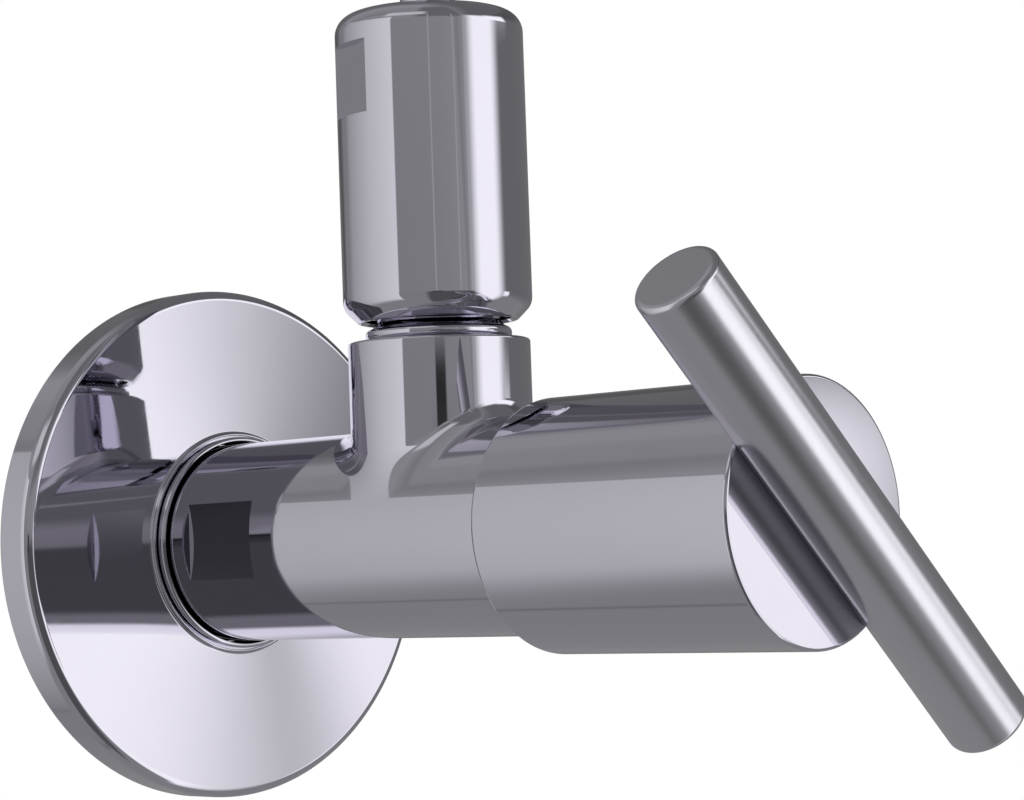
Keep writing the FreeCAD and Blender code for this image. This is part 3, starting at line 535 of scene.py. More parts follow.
def near_run(run, flat):
    """Distance of flat points (along, radius) from a run, and the run's direction there."""
    start, end = run["points"][0], run["points"][-1]
    if run["centre"] is None:
        step = end - start
        share = np.clip((flat - start) @ step / (step @ step), 0, 1)
        away = np.linalg.norm(flat - (start + share[:, None] * step), axis=1)
        return away, np.repeat(run["normals"][:1], len(flat), axis=0)
    out = flat - run["centre"]
    size = np.linalg.norm(out, axis=1)
    radius = np.linalg.norm(start - run["centre"])
    direction = out / np.maximum(size, LEAST_LENGTH)[:, None]
    middle = unit(run["points"][len(run["points"]) // 2] - run["centre"])
    reach = math.acos(max(-1.0, min(1.0, float(unit(start - run["centre"]) @ middle))))
    reach += ARC_SLACK
    beyond = np.arccos(np.clip(direction @ middle, -1, 1)) > reach
    away = np.abs(size - radius) + beyond
    return away, direction * run["sign"]


def new_tree(name, inputs):
    """An empty shape tree with a geometry in and out and the named inputs."""
    tree = bpy.data.node_groups.new(name, "GeometryNodeTree")
    tree.interface.new_socket("Geometry", in_out="INPUT", socket_type="NodeSocketGeometry")
    for label, kind, value in inputs:
        socket = tree.interface.new_socket(label, in_out="INPUT", socket_type=kind)
        if value is not None:
            socket.default_value = value
    tree.interface.new_socket("Geometry", in_out="OUTPUT", socket_type="NodeSocketGeometry")
    return tree


class Wiring:
    """Short calls that add nodes to a tree and join them."""

    def __init__(self, tree):
        self.tree = tree

    def node(self, kind, **settings):
        """A new node with its settings."""
        made = self.tree.nodes.new(kind)
        for key, value in settings.items():
            setattr(made, key, value)
        return made

    def join(self, output, socket):
        """Joins an output to a socket."""
        self.tree.links.new(output, socket)

    def set(self, socket, value):
        """Joins a socket to another, or sets it to a plain value."""
        if isinstance(value, bpy.types.NodeSocket):
            self.join(value, socket)
        else:
            socket.default_value = value

    def math(self, operation, *values):
        """The outcome of one sum on up to three values."""
        made = self.node("ShaderNodeMath", operation=operation)
        for socket, value in zip(made.inputs, values):
            self.set(socket, value)
        return made.outputs[0]

    def blend(self, share, first, second):
        """A colour or number between two, by a share."""
        mixer = self.node("ShaderNodeMix", data_type="RGBA")
        self.set(mixer.inputs[0], share)
        self.set(mixer.inputs[6], colour(first))
        self.set(mixer.inputs[7], colour(second))
        return mixer.outputs[2]

    def between(self, value, low, high, to_low, to_high, soft=False):
        """A value carried from one range to another, and held at its ends."""
        carried = self.node("ShaderNodeMapRange")
        carried.interpolation_type = "SMOOTHSTEP" if soft else "LINEAR"
        for socket, number in zip(carried.inputs[:5], (value, low, high, to_low, to_high)):
            self.set(socket, number)
        return carried.outputs[0]


class ShapeWiring(Wiring):
    """The wiring of a shape tree, with its group's own inputs and output."""

    def __init__(self, tree):
        super().__init__(tree)
        self.source = self.node("NodeGroupInput")
        self.sink = self.node("NodeGroupOutput")

    def input(self, label):
        """One of the group's own inputs, by its name."""
        return self.source.outputs[label]


def colour(value):
    """A colour as a node socket takes it."""
    if isinstance(value, bpy.types.NodeSocket):
        return value
    if isinstance(value, (int, float)):
        return (value, value, value, 1.0)
    return tuple(value)[:3] + (1.0,)


def turned_tree():
    """A section, given as a ring of points (radius, 0, along), swept about +Z and cut."""
    tree = new_tree("turned_piece", [
        ("Columns", "NodeSocketInt", SWEEP_COLUMNS),
        ("Cutter", "NodeSocketObject", None),
        ("Is cut", "NodeSocketBool", False),
        ("Finish", "NodeSocketMaterial", None),
    ])
    w = ShapeWiring(tree)
    count = w.node("GeometryNodeAttributeDomainSize", component="MESH")
    w.join(w.input("Geometry"), count.inputs["Geometry"])
    rows = count.outputs["Point Count"]
    lattice = w.node("GeometryNodeMeshGrid")
    w.join(w.math("ADD", w.input("Columns"), 1.0), lattice.inputs["Vertices X"])
    w.join(w.math("ADD", rows, 1.0), lattice.inputs["Vertices Y"])
    index = w.node("GeometryNodeInputIndex").outputs[0]
    per_column = w.math("ADD", rows, 1.0)
    column = w.math("FLOOR", w.math("DIVIDE", w.math("ADD", index, 0.5), per_column))
    row = w.math("SUBTRACT", index, w.math("MULTIPLY", column, per_column))
    wrapped = w.math("MODULO", row, rows)
    sample = w.node("GeometryNodeSampleIndex", data_type="FLOAT_VECTOR", domain="POINT")
    w.join(w.input("Geometry"), sample.inputs["Geometry"])
    w.join(w.node("GeometryNodeInputPosition").outputs[0], sample.inputs["Value"])
    w.join(wrapped, sample.inputs["Index"])
    parts = w.node("ShaderNodeSeparateXYZ")
    w.join(sample.outputs[0], parts.inputs[0])
    closed_column = w.math("MODULO", column, w.input("Columns"))
    angle = w.math("MULTIPLY", w.math("DIVIDE", closed_column, w.input("Columns")), 2 * math.pi)
    place = w.node("ShaderNodeCombineXYZ")
    w.join(w.math("MULTIPLY", parts.outputs["X"], w.math("COSINE", angle)), place.inputs["X"])
    w.join(w.math("MULTIPLY", parts.outputs["X"], w.math("SINE", angle)), place.inputs["Y"])
    w.join(parts.outputs["Z"], place.inputs["Z"])
    move = w.node("GeometryNodeSetPosition")
    w.join(lattice.outputs["Mesh"], move.inputs["Geometry"])
    w.join(place.outputs[0], move.inputs["Position"])
    weld = w.node("GeometryNodeMergeByDistance")
    w.join(move.outputs[0], weld.inputs["Geometry"])
    weld.inputs["Distance"].default_value = WELD
    faces_beside = w.node("GeometryNodeInputMeshEdgeNeighbors").outputs[0]
    clean = w.node("GeometryNodeDeleteGeometry", domain="EDGE", mode="EDGE_FACE")
    w.join(weld.outputs[0], clean.inputs["Geometry"])
    w.join(w.math("LESS_THAN", faces_beside, 0.5), clean.inputs["Selection"])
    cutter = w.node("GeometryNodeObjectInfo", transform_space="ORIGINAL")
    w.join(w.input("Cutter"), cutter.inputs["Object"])
    cut = w.node("GeometryNodeMeshBoolean", operation="DIFFERENCE", solver="EXACT")
    w.join(clean.outputs[0], cut.inputs["Mesh 1"])
    w.join(cutter.outputs["Geometry"], cut.inputs["Mesh 2"])
    pick = w.node("GeometryNodeSwitch", input_type="GEOMETRY")
    w.join(w.input("Is cut"), pick.inputs["Switch"])
    w.join(clean.outputs[0], pick.inputs["False"])
    w.join(cut.outputs["Mesh"], pick.inputs["True"])
    finish_tree(w, pick.outputs[0])
    return tree


def thread_tree():
    """A helical ridge that rises from a root cylinder and fades out at both ends."""
    tree = new_tree("helical_thread", [
        ("Root radius", "NodeSocketFloat", 0.0093),
        ("Depth", "NodeSocketFloat", 0.0012),
        ("Pitch", "NodeSocketFloat", 0.0018),
        ("Turns", "NodeSocketFloat", 7.0),
        ("Points per turn", "NodeSocketInt", 72),
        ("Fade turns", "NodeSocketFloat", 0.6),
        ("Finish", "NodeSocketMaterial", None),
    ])
    least_size = 0.02
    sunk_share = 0.3
    foot_pitches = 1.12
    crest_pitches = 0.16
    w = ShapeWiring(tree)
    helix = w.node("GeometryNodeCurveSpiral")
    w.join(w.input("Points per turn"), helix.inputs["Resolution"])
    w.join(w.input("Turns"), helix.inputs["Rotations"])
    w.join(w.input("Root radius"), helix.inputs["Start Radius"])
    w.join(w.input("Root radius"), helix.inputs["End Radius"])
    w.join(w.math("MULTIPLY", w.input("Turns"), w.input("Pitch")), helix.inputs["Height"])
    helix.inputs["Reverse"].default_value = False
    upright = w.node("GeometryNodeSetCurveNormal", mode="Z_UP")
    w.join(helix.outputs[0], upright.inputs["Curve"])
    factor = w.node("GeometryNodeSplineParameter").outputs["Factor"]
    turn = w.math("MULTIPLY", factor, w.input("Turns"))
    from_end = w.math("SUBTRACT", w.input("Turns"), turn)
    nearest = w.math("DIVIDE", w.math("MINIMUM", turn, from_end), w.input("Fade turns"))
    share = w.math("MAXIMUM", w.math("MINIMUM", nearest, 1.0), least_size)
    ridge = w.node("GeometryNodeCurvePrimitiveQuadrilateral", mode="TRAPEZOID")
    foot = w.math("MULTIPLY", w.input("Depth"), sunk_share)
    w.join(w.math("MULTIPLY", w.input("Pitch"), foot_pitches), ridge.inputs["Bottom Width"])
    w.join(w.math("MULTIPLY", w.input("Pitch"), crest_pitches), ridge.inputs["Top Width"])
    w.join(w.math("ADD", w.input("Depth"), foot), ridge.inputs["Height"])
    ridge.inputs["Offset"].default_value = 0.0
    turn_ridge = w.node("GeometryNodeTransform")
    w.join(ridge.outputs[0], turn_ridge.inputs["Geometry"])
    turn_ridge.inputs["Rotation"].default_value = (0, 0, math.radians(90))
    shift = w.node("ShaderNodeCombineXYZ")
    w.join(w.math("MULTIPLY", w.math("SUBTRACT", foot, w.input("Depth")), 0.5), shift.inputs["X"])
    w.join(shift.outputs[0], turn_ridge.inputs["Translation"])
    sweep = w.node("GeometryNodeCurveToMesh")
    w.join(upright.outputs[0], sweep.inputs["Curve"])
    w.join(share, sweep.inputs["Scale"])
    w.join(turn_ridge.outputs[0], sweep.inputs["Profile Curve"])
    sweep.inputs["Fill Caps"].default_value = True
    finish_tree(w, sweep.outputs[0])
    return tree


def finish_tree(w, geometry):
    """Every tree ends with real geometry that wears its finish."""
    real = w.node("GeometryNodeRealizeInstances")
    w.join(geometry, real.inputs["Geometry"])
    dress = w.node("GeometryNodeSetMaterial")
    w.join(real.outputs[0], dress.inputs["Geometry"])
    w.join(w.input("Finish"), dress.inputs["Material"])
    w.join(dress.outputs[0], w.sink.inputs["Geometry"])


def socket_identifier(tree, label):
    """The identifier of a tree's named input."""
    for item in tree.interface.items_tree:
        if item.item_type == "SOCKET" and item.in_out == "INPUT" and item.name == label:
            return item.identifier
    raise RuntimeError("the tree has no input named " + label)


def grow(name, mesh, tree, values, placement):
    """Runs a tree on a mesh and returns its plain result, placed in the frame."""
    seed = new_object(name + "_seed", mesh)
    modifier = seed.modifiers.new("shape", "NODES")
    modifier.node_group = tree
    for label, value in values.items():
        modifier[socket_identifier(tree, label)] = value
    bpy.context.view_layer.update()
    graph = bpy.context.evaluated_depsgraph_get()
    result = bpy.data.meshes.new_from_object(seed.evaluated_get(graph))
    seed.modifiers.remove(modifier)
    bpy.data.objects.remove(seed)
    if len(result.polygons) == 0:
        raise RuntimeError(name + " came out empty")
    result.name = name
    result.transform(placement)
    return new_object(name, result)


def turned_piece(name, corners, axis, finish, cuts=None, cut_surfaces=()):
    """A closed section turned about an axis, cut where cuts are given, and polished."""
    section = Section(corners)
    ring = section.loop()
    mesh = bpy.data.meshes.new(name + "_section")
    count = len(ring)
    mesh.from_pydata([(radius, 0.0, along) for along, radius in ring],
                     [(i, (i + 1) % count) for i in range(count)], [])
    values = {"Columns": SWEEP_COLUMNS, "Finish": finish}
    if cuts is not None:
        cutter = cuts.object(name + "_cuts")
        values["Cutter"] = cutter
        values["Is cut"] = True
    piece = grow(name, mesh, shape_tree("turned_piece", turned_tree), values, axis.matrix())
    face_outwards(piece)
    polish(piece, [(section.runs, axis)] + list(cut_surfaces))
    if cuts is not None:
        bpy.data.objects.remove(cutter)
    return piece


def shape_tree(name, build):
    """A tree by its name, built when it is first asked for."""
    return bpy.data.node_groups.get(name) or build()


def face_outwards(piece):
    """Turns the mesh the right way round if its faces point inwards."""
    mesh = piece.data
    volume = 0.0
    for face in mesh.polygons:
        volume += face.normal.dot(face.center) * face.area
    if volume < 0:
        mesh.flip_normals()


class Cutter:
    """Boxes and rods that cut a piece, gathered in the piece's own space."""

    def __init__(self, axis):
        self.points = []
        self.faces = []
        self.to_piece = axis.matrix().inverted()

    def box(self, low, high, placement):
        """A box between two corners, placed within the piece's space."""
        base = len(self.points)
        for x in (low[0], high[0]):
            for y in (low[1], high[1]):
                for z in (low[2], high[2]):
                    self.points.append(tuple(placement @ Vector((x, y, z))))
        for face in ((0, 1, 3, 2), (4, 6, 7, 5), (0, 4, 5, 1),
                     (2, 3, 7, 6), (0, 2, 6, 4), (1, 5, 7, 3)):
            self.faces.append([base + corner for corner in face])

    def rod(self, axis, radius, start, end, columns=COLUMNS):
        """A round rod along an axis."""
        base = len(self.points)
        placement = self.to_piece @ axis.matrix()
        for z in (start, end):
            for column in range(columns):
                angle = 2 * math.pi * column / columns
                place = Vector((radius * math.cos(angle), radius * math.sin(angle), z))
                self.points.append(tuple(placement @ place))
        for column in range(columns):
            following = (column + 1) % columns
            self.faces.append([base + column, base + following,
                               base + columns + following, base + columns + column])
        self.faces.append([base + column for column in reversed(range(columns))])
        self.faces.append([base + columns + column for column in range(columns)])

    def object(self, name):
        """The boxes and rods as one object."""
        mesh = bpy.data.meshes.new(name)
        mesh.from_pydata(self.points, [], self.faces)
        return new_object(name, mesh)


def valve_axis(origin=(0, 0, 0)):
    """The body's level axis, from the wall outwards, or a line beside it."""
    return Axis(origin, (0, -1, 0), (1, 0, 0), (0, 0, 1))


def outlet_axis(sizes, height=0):
    """The branch's upright axis, from a height upwards."""
    return Axis((0, -sizes.branch_out, height), (0, 0, 1), (1, 0, 0), (0, 1, 0))


def bar_axis(sizes):
    """The cross bar's line over the knob's face, from its middle towards its upper end."""
    out = sizes.hub_front + sizes.bar_radius - sizes.bar_sunk
    turn = sizes.bar_turn
    along = (-math.sin(turn), 0, math.cos(turn))
    across = (math.cos(turn), 0, math.sin(turn))
    return Axis((0, -out, 0), along, across, (0, -1, 0))


def column_angles(corner_angles, count=COLUMNS):
    """Even angles round a circle, starting at the top, with the nearest moved onto each corner."""
    angles = TOP + np.arange(count + 1) * (2 * math.pi / count)
    for corner in corner_angles:
        turned = (corner - TOP) % (2 * math.pi) + TOP
        angles[int(round((turned - TOP) / (2 * math.pi / count)))] = turned
    return angles


def flat_corners(radius, distance, middles):
    """The angles at which a pair of flats leaves the round."""
    half = math.acos(distance / radius)
    return [middle + side * half for middle in middles for side in (-1, 1)]


def flatted_band(skin, axis, radius, distance, start, end, lean, middles, angles):
    """A round band with flats milled in it, and the flats' two leaning end walls."""
    half = math.acos(distance / radius)
    margin = lean * (radius - distance)
    lengths = np.array([start - margin, start, end, end + margin])[:, None]
    size = math.hypot(1.0, lean)
    for first, second in zip(angles[:-1], angles[1:]):
        centre = (first + second) / 2
        pair = np.array([first, second])[None, :]
        middle = None
        for candidate in middles:
            if abs((centre - candidate + math.pi) % (2 * math.pi) - math.pi) < half:
                middle = candidate
        if middle is None:
            round_patch(skin, axis, lengths + 0 * pair, radius, pair)
            continue
        reach = distance / np.cos(pair - middle)
        depth = radius * np.cos(pair - middle) - distance
        ends = lengths[1:3] + 0 * pair
        skin.grid(axis.point(ends, reach + 0 * ends, pair + 0 * ends),
                  axis.direction(0 * ends, 1 + 0 * ends, middle + 0 * ends))
        for place, way in ((start, -1.0), (end, 1.0)):
            edge = place + way * lean * depth
            along = np.concatenate([place + 0 * pair, edge])
            radii = np.concatenate([reach, radius + 0 * reach])
            skin.grid(axis.point(along, radii, pair + 0 * along),
                      axis.direction(-way / size + 0 * along, lean / size + 0 * along,
                                     middle + 0 * along))
            rest = np.concatenate([edge, place + way * margin + 0 * pair])
            round_patch(skin, axis, rest, radius, pair)


def round_patch(skin, axis, along, radius, pair):
    """A piece of a round surface between two angles."""
    skin.grid(axis.point(along, radius + 0 * along, pair + 0 * along),
              axis.direction(0 * along, 1 + 0 * along, pair + 0 * along))


def crossing(skin, main_r, side_r, joint, out, angles, back, front, wall_top, inward=False):
    """Where an upright tube meets a level one, and the turns at which its rows run.

    The joint holds the rounding's two widths and its rise at the sides, or is None."""
    facing = -1.0 if inward else 1.0
    width, side_width, side_rise = joint or (0.0, 0.0, 1.0)

    def foot_flat(turn):
        """The joint's edge on the level tube, unrolled."""
        reach = width + (side_width - width) * np.cos(turn) ** 2
        round_the_tube = main_r * np.arcsin(side_r * np.cos(turn) / main_r)
        return np.stack([round_the_tube + reach * np.cos(turn),
                         (side_r + reach) * np.sin(turn)], axis=-1)

    def level_point(flat):
        """An unrolled point, back on the level tube."""
        side = flat[..., 0] / main_r
        return np.stack([main_r * np.sin(side), -(out + flat[..., 1]), main_r * np.cos(side)],
                        axis=-1)

    def joint_point(turn, share):
        """A curve upright at the wall and tangent to the level round at the foot."""
        low = level_point(foot_flat(turn))
        bend = np.stack([side_r * np.cos(turn), -(out + side_r * np.sin(turn)), 0 * turn], axis=-1)
        bend[..., 2] = (main_r ** 2 - bend[..., 0] * low[..., 0]) / low[..., 2]
        leg = low - bend
        reach = np.linalg.norm(leg, axis=-1)
        high = bend.copy()
        high[..., 2] += reach * (1 - (1 - side_rise) * np.cos(turn) ** 2)
        weight = np.sqrt((1 - leg[..., 2] / reach) / 2)[..., None]
        share = share[..., None]
        first = (1 - share) ** 2
        middle = 2 * share * (1 - share) * weight
        last = share ** 2
        return (low * first + bend * middle + high * last) / (first + middle + last)

    edge_samples = 7201
    side_rows = 25
    level_rows = 41
    joint_rows = 21
    wall_rows = 9
    turns = np.linspace(0, 2 * math.pi, edge_samples)
    edge = foot_flat(turns)
    edge_angle = np.unwrap(np.arctan2(edge[:, 1], edge[:, 0]))
    half_count = len(angles) // 2
    sideways = np.concatenate([TOP + 2 * math.pi - angles[half_count:],
                               TOP - angles[1:half_count + 1]])
    length_steps = np.linspace(front - out, back - out, side_rows)
    rim = [(main_r * s, front - out) for s in sideways]
    rim += [(main_r * sideways[-1], v) for v in length_steps[1:]]
    rim += [(main_r * s, back - out) for s in sideways[::-1][1:]]
    rim += [(main_r * sideways[0], v) for v in length_steps[::-1][1:]]
    rim = np.array(rim)
    rim_angle = np.arctan2(rim[:, 1], rim[:, 0]) % (2 * math.pi)
    turn = np.interp(rim_angle, edge_angle, turns)

    foot = foot_flat(turn)
    shares = np.linspace(0, 1, level_rows)[:, None, None]
    points = level_point(foot[None] + (rim - foot)[None] * shares)
    normals = points / main_r
    normals[..., 1] = 0
    skin.grid(points, normals * facing)

    wall_foot = np.sqrt(main_r ** 2 - (side_r * np.cos(turn)) ** 2)
    if joint:
        step = 1e-4
        rows = np.linspace(0, 1, joint_rows)[:, None] + 0 * turn[None]
        columns = turn[None] + 0 * rows
        round_it = joint_point(columns + step, rows) - joint_point(columns - step, rows)
        up_it = joint_point(columns, rows + step) - joint_point(columns, rows - step)
        normals = np.cross(round_it, up_it)
        normals /= np.linalg.norm(normals, axis=-1, keepdims=True)
        wallward = np.sum(normals * wall_side(columns), axis=-1, keepdims=True)
        skin.grid(joint_point(columns, rows), normals * np.sign(wallward))
        wall_foot = joint_point(turn, 1 + 0 * turn)[:, 2]
    rows = np.linspace(0, 1, wall_rows)[:, None]
    wall = np.stack([side_r * np.cos(turn)[None] + 0 * rows,
                     -(out + side_r * np.sin(turn))[None] + 0 * rows,
                     wall_foot[None] * (1 - rows) + wall_top * rows], axis=-1)
    skin.grid(wall, wall_side(turn[None] + 0 * rows) * facing)
    return turn


def wall_side(turn):
    """Straight away from the upright tube's axis, at each turn."""
    return np.stack([np.cos(turn), -np.sin(turn), 0 * turn], axis=-1)


def tee_body(sizes):
    """The forged tee: nipple, tube with flats, filleted branch and neck, with its bores."""
    skin = Skin()
    flat_distance = sizes.body_radius - sizes.body_flat_depth
    angles = column_angles(flat_corners(sizes.body_radius, flat_distance, FLAT_MIDDLES))
    outer = (sizes.branch_out - OUTER_CROSSING_REACH, sizes.branch_out + OUTER_CROSSING_REACH)
    level_tube(skin, sizes, angles, flat_distance, *outer)
    joint = (sizes.saddle_width, sizes.saddle_side_width, sizes.saddle_side_rise)
    outer_turn = crossing(skin, sizes.body_radius, sizes.branch_radius, joint,
                          sizes.branch_out, angles, *outer, OUTER_CROSSING_TOP)
    inner_turn = crossing(skin, CHAMBER_RADIUS, BRANCH_BORE_RADIUS, None,
                          sizes.branch_out, angles, *INNER_CROSSING, INNER_CROSSING_TOP,
                          inward=True)
    branch_neck(skin, sizes, outer_turn, inner_turn)
    return skin.object("tee_body")


def level_tube(skin, sizes, angles, flat_distance, outer_back, outer_front):
    """The nipple and the level tube with its bores, left open where the branch crosses it."""
    front = sizes.body_front
    end = sizes.inlet_end
    back = 0.001
    inlet_end_r = sizes.inlet_major - 0.0012
    inlet_bore_r = 0.0065
    inlet_mouth = 0.001
    inlet_lead = 0.0004
    seat_r = 0.0044
    seat_start = 0.0305
    seat_end = 0.033
    socket_r = sizes.neck_major + 0.00004
    socket_back = front - 0.011
    mouth = 0.00212
    section = Section([
        (-end, inlet_bore_r + inlet_mouth, 0),
        (-end, inlet_end_r, 0),
        (-end + inlet_lead, sizes.inlet_minor, 0),
        (back, sizes.inlet_minor, 0),
        (back, sizes.body_radius, sizes.body_edge),
        (front, sizes.body_radius, sizes.body_edge),
        (front, socket_r + mouth, 0),
        (front - mouth, socket_r, 0),
        (socket_back, socket_r, 0),
        (socket_back, CHAMBER_RADIUS, 0),
        (seat_end, CHAMBER_RADIUS, 0),
        (seat_end, seat_r, 0),
        (seat_start, seat_r, 0),
        (seat_start, inlet_bore_r, 0.001),
        (-end + inlet_mouth, inlet_bore_r, 0),
    ])
    valve = valve_axis()
    flat_start = sizes.body_flat_start
    flat_end = flat_start + sizes.body_flat_length
    flat_margin = sizes.body_flat_lean * sizes.body_flat_depth
    inner_back, inner_front = INNER_CROSSING
    for run in section.runs:
        level = run["points"][:, 1]
        is_straight = run["centre"] is None
        low = run["points"][:, 0].min()
        high = run["points"][:, 0].max()
        if is_straight and np.allclose(level, sizes.body_radius):
            for start, stop in ((low, flat_start - flat_margin),
                                (flat_end + flat_margin, outer_back), (outer_front, high)):
                skin.turn(valve, round_band(start, stop, sizes.body_radius, 1.0), angles)
            flatted_band(skin, valve, sizes.body_radius, flat_distance, flat_start, flat_end,
                         sizes.body_flat_lean, FLAT_MIDDLES, angles)
        elif is_straight and np.allclose(level, CHAMBER_RADIUS):
            for start, stop in ((low, inner_back), (inner_front, high)):
                skin.turn(valve, round_band(start, stop, CHAMBER_RADIUS, -1.0), angles)
        else:
            skin.turn(valve, run, angles)


def branch_neck(skin, sizes, outer_turn, inner_turn):
    """The branch above the crossing, its neck's ring, relief and root, and the tube's socket."""
    outlet = outlet_axis(sizes)
    shoulder = sizes.branch_top
    ring_r = 0.00835
    ring_round = 0.0006
    ring_foot = shoulder + 0.0001
    ring_top = shoulder + NECK_RING_HEIGHT
    relief_low_r = 0.0076
    relief_high_r = 0.0068
    thread_start = neck_thread_start(sizes)
    neck_top = thread_start + sizes.neck_height
    olive_seat_r = 0.0047
    olive_seat_depth = 0.0026
    tube_hole = sizes.tube_radius + TUBE_GAP
    tube_stop = shoulder + 0.002
    tube_bore = sizes.tube_radius - TUBE_WALL
    bore_top = shoulder - 0.002
    bore_seam = bore_top - 0.002
    section = Section([
        (OUTER_CROSSING_TOP, sizes.branch_radius, 0),
        (shoulder, sizes.branch_radius, 0.00035),
        (shoulder, ring_r - ring_round, 0),
        (ring_foot, ring_r - ring_round, 0),
        (ring_foot, ring_r, ring_round),
        (ring_top, ring_r, 0.0007),
        (ring_top, relief_low_r, 0.0003),
        (thread_start, relief_high_r, 0),
        (thread_start, sizes.neck_minor, 0),
        (neck_top, sizes.neck_minor, 0),
        (neck_top, olive_seat_r, 0),
        (neck_top - olive_seat_depth, tube_hole, 0),
        (tube_stop, tube_hole, 0),
        (tube_stop, tube_bore, 0),
        (bore_top, tube_bore, 0),
        (bore_top, BRANCH_BORE_RADIUS, 0.001),
        (bore_seam, BRANCH_BORE_RADIUS, 0),
    ], closed=False)
    for run in section.runs:
        run["normals"] = -run["normals"]
        skin.turn(outlet, run, -outer_turn)
    ends = np.stack([-outer_turn, -inner_turn])
    heights = np.array([bore_seam, INNER_CROSSING_TOP])[:, None] + 0 * ends
    skin.grid(outlet.point(heights, BRANCH_BORE_RADIUS + 0 * ends, ends),
              outlet.direction(0 * ends, -1 + 0 * ends, ends))


def neck_thread_start(sizes):
    """Height at which the neck's thread begins, over its ring and relief."""
    return sizes.branch_top + NECK_RING_HEIGHT + NECK_RELIEF_HEIGHT


def pipe_thread(name, root_r, crest_r, pitch, length, axis, finish):
    """A whole pipe thread on its root cylinder."""
    seed = bpy.data.meshes.new(name + "_seed")
    values = {
        "Root radius": root_r,
        "Depth": crest_r - root_r,
        "Pitch": pitch,
        "Turns": (length - pitch) / pitch,
        "Finish": finish,
    }
    half_a_turn_in = Matrix.Translation((0, 0, pitch / 2))
    return grow(name, seed, shape_tree("helical_thread", thread_tree), values,
                axis.matrix() @ half_a_turn_in)


def wall_flange(sizes, finish):
    """The crowned cup against the wall, with its grooved collar and its rubber ring's boss."""
    hole_r = sizes.body_radius + COLLAR_GAP
    groove_r = sizes.body_radius + 0.0013
    foot_r = hole_r + 0.0011
    boss_r = groove_r + 0.0009
    lip_r = sizes.body_radius + 0.0006
    wall = 0.001
    inner_r = sizes.flange_radius - wall
    rim = sizes.flange_rim
    face = rim + sizes.flange_crown
    step = face + 0.00055
    channel = step - 0.0004
    collar_top = face + sizes.collar_height
    boss = 0.0026
    groove = boss + 0.0006
    groove_end = groove + 0.00125
    return turned_piece("flange_cup", [
        (0, inner_r, 0),
        (0, sizes.flange_radius, 0.0002),
        (rim, sizes.flange_radius, sizes.flange_round),
        (face, foot_r, 0.0003),
        (step, foot_r - 0.0001, 0.0002),
        (step, foot_r - 0.00035, 0.0001),
        (channel, foot_r - 0.0004, 0),
        (channel, foot_r - 0.00055, 0),
        (collar_top, foot_r - 0.0006, 0.0004),
        (collar_top, hole_r, 0.0001),
        (groove_end, hole_r, 0),
        (groove_end, groove_r, 0),
        (groove, groove_r, 0),
        (groove, lip_r, 0),
        (boss, lip_r, 0.0002),
        (boss, boss_r, 0.0002),
        (face - wall, boss_r, 0.0003),
        (rim - wall, inner_r, sizes.flange_round / 2),
    ], valve_axis(), finish)


def knob(sizes, finish):
    """The turned knob with the cross bar's seat and the grub screw's hole."""
    valve = valve_axis()
    bar = bar_axis(sizes)
    back = sizes.hub_back
    front = sizes.hub_front
    skirt_r = sizes.body_radius + COLLAR_GAP
    skirt_end = 0.079
    bore_r = 0.00804
    floor = front - 0.006
    seat_r = sizes.bar_radius + 0.00003
    seat_reach = 0.021
    screw_seat = floor + 0.0017
    screw_r = 0.0017
    screw_start = -0.0002
    screw_end = 0.006
    head_r = 0.0028
    head_start = -0.003
    hole_r = 0.00202
    hole_out = 0.08335
    hole_start = 0.004
    hole_end = 0.018
    hole_turn = math.radians(320.0)
    hole_line = (math.cos(hole_turn), 0, math.sin(hole_turn))
    outwards = (0, -1, 0)
    hole = Axis((0, -hole_out, 0), hole_line, outwards, np.cross(hole_line, outwards))
    cuts = Cutter(valve)
    cuts.rod(bar, seat_r, -seat_reach, seat_reach)
    cuts.rod(hole, hole_r, hole_start, hole_end, columns=64)
    screws = []
    for side in (-1, 1):
        foot = np.array((0, -screw_seat, 0)) + bar.along * (side * BAR_SCREW_OFFSET)
        screw = valve_axis(foot)
        cuts.rod(screw, screw_r, screw_start, screw_end, columns=48)
        cuts.rod(screw, head_r, head_start, 0.0, columns=64)
        screws.append((bore_runs(screw_r) + bore_runs(head_r), screw))
    return turned_piece("knob", [
        (back, skirt_r, 0.0003),
        (back, sizes.hub_radius, 0.0006),
        (front, sizes.hub_radius, sizes.hub_edge),
        (front, 0, 0),
        (floor, 0, 0),
        (floor, bore_r, 0),
        (skirt_end, bore_r, 0),
        (skirt_end, skirt_r, 0.001),
    ], valve, finish, cuts, [(bore_runs(seat_r), bar), (bore_runs(hole_r), hole)] + screws)


def cross_bar(sizes, finish):
    """The satin rod across the knob's face, with the two screw holes in its back."""
    bar = bar_axis(sizes)
    half = sizes.bar_length / 2
    hole_r = 0.00152
    hole_depth = 0.0058
    hole_back = 0.0076
    cuts = Cutter(bar)
    holes = []
    for side in (-1, 1):
        foot = bar.origin + np.array((0, hole_back, 0)) + bar.along * (side * BAR_SCREW_OFFSET)
        hole = valve_axis(foot)
        cuts.rod(hole, hole_r, 0.0, hole_depth, columns=48)
        holes.append((bore_runs(hole_r), hole))
    return turned_piece("handle_bar", [
        (-half, 0, 0),
        (half, 0, 0),
        (half, sizes.bar_radius, sizes.bar_round),
        (-half, sizes.bar_radius, sizes.bar_round),
    ], bar, finish, cuts, holes)


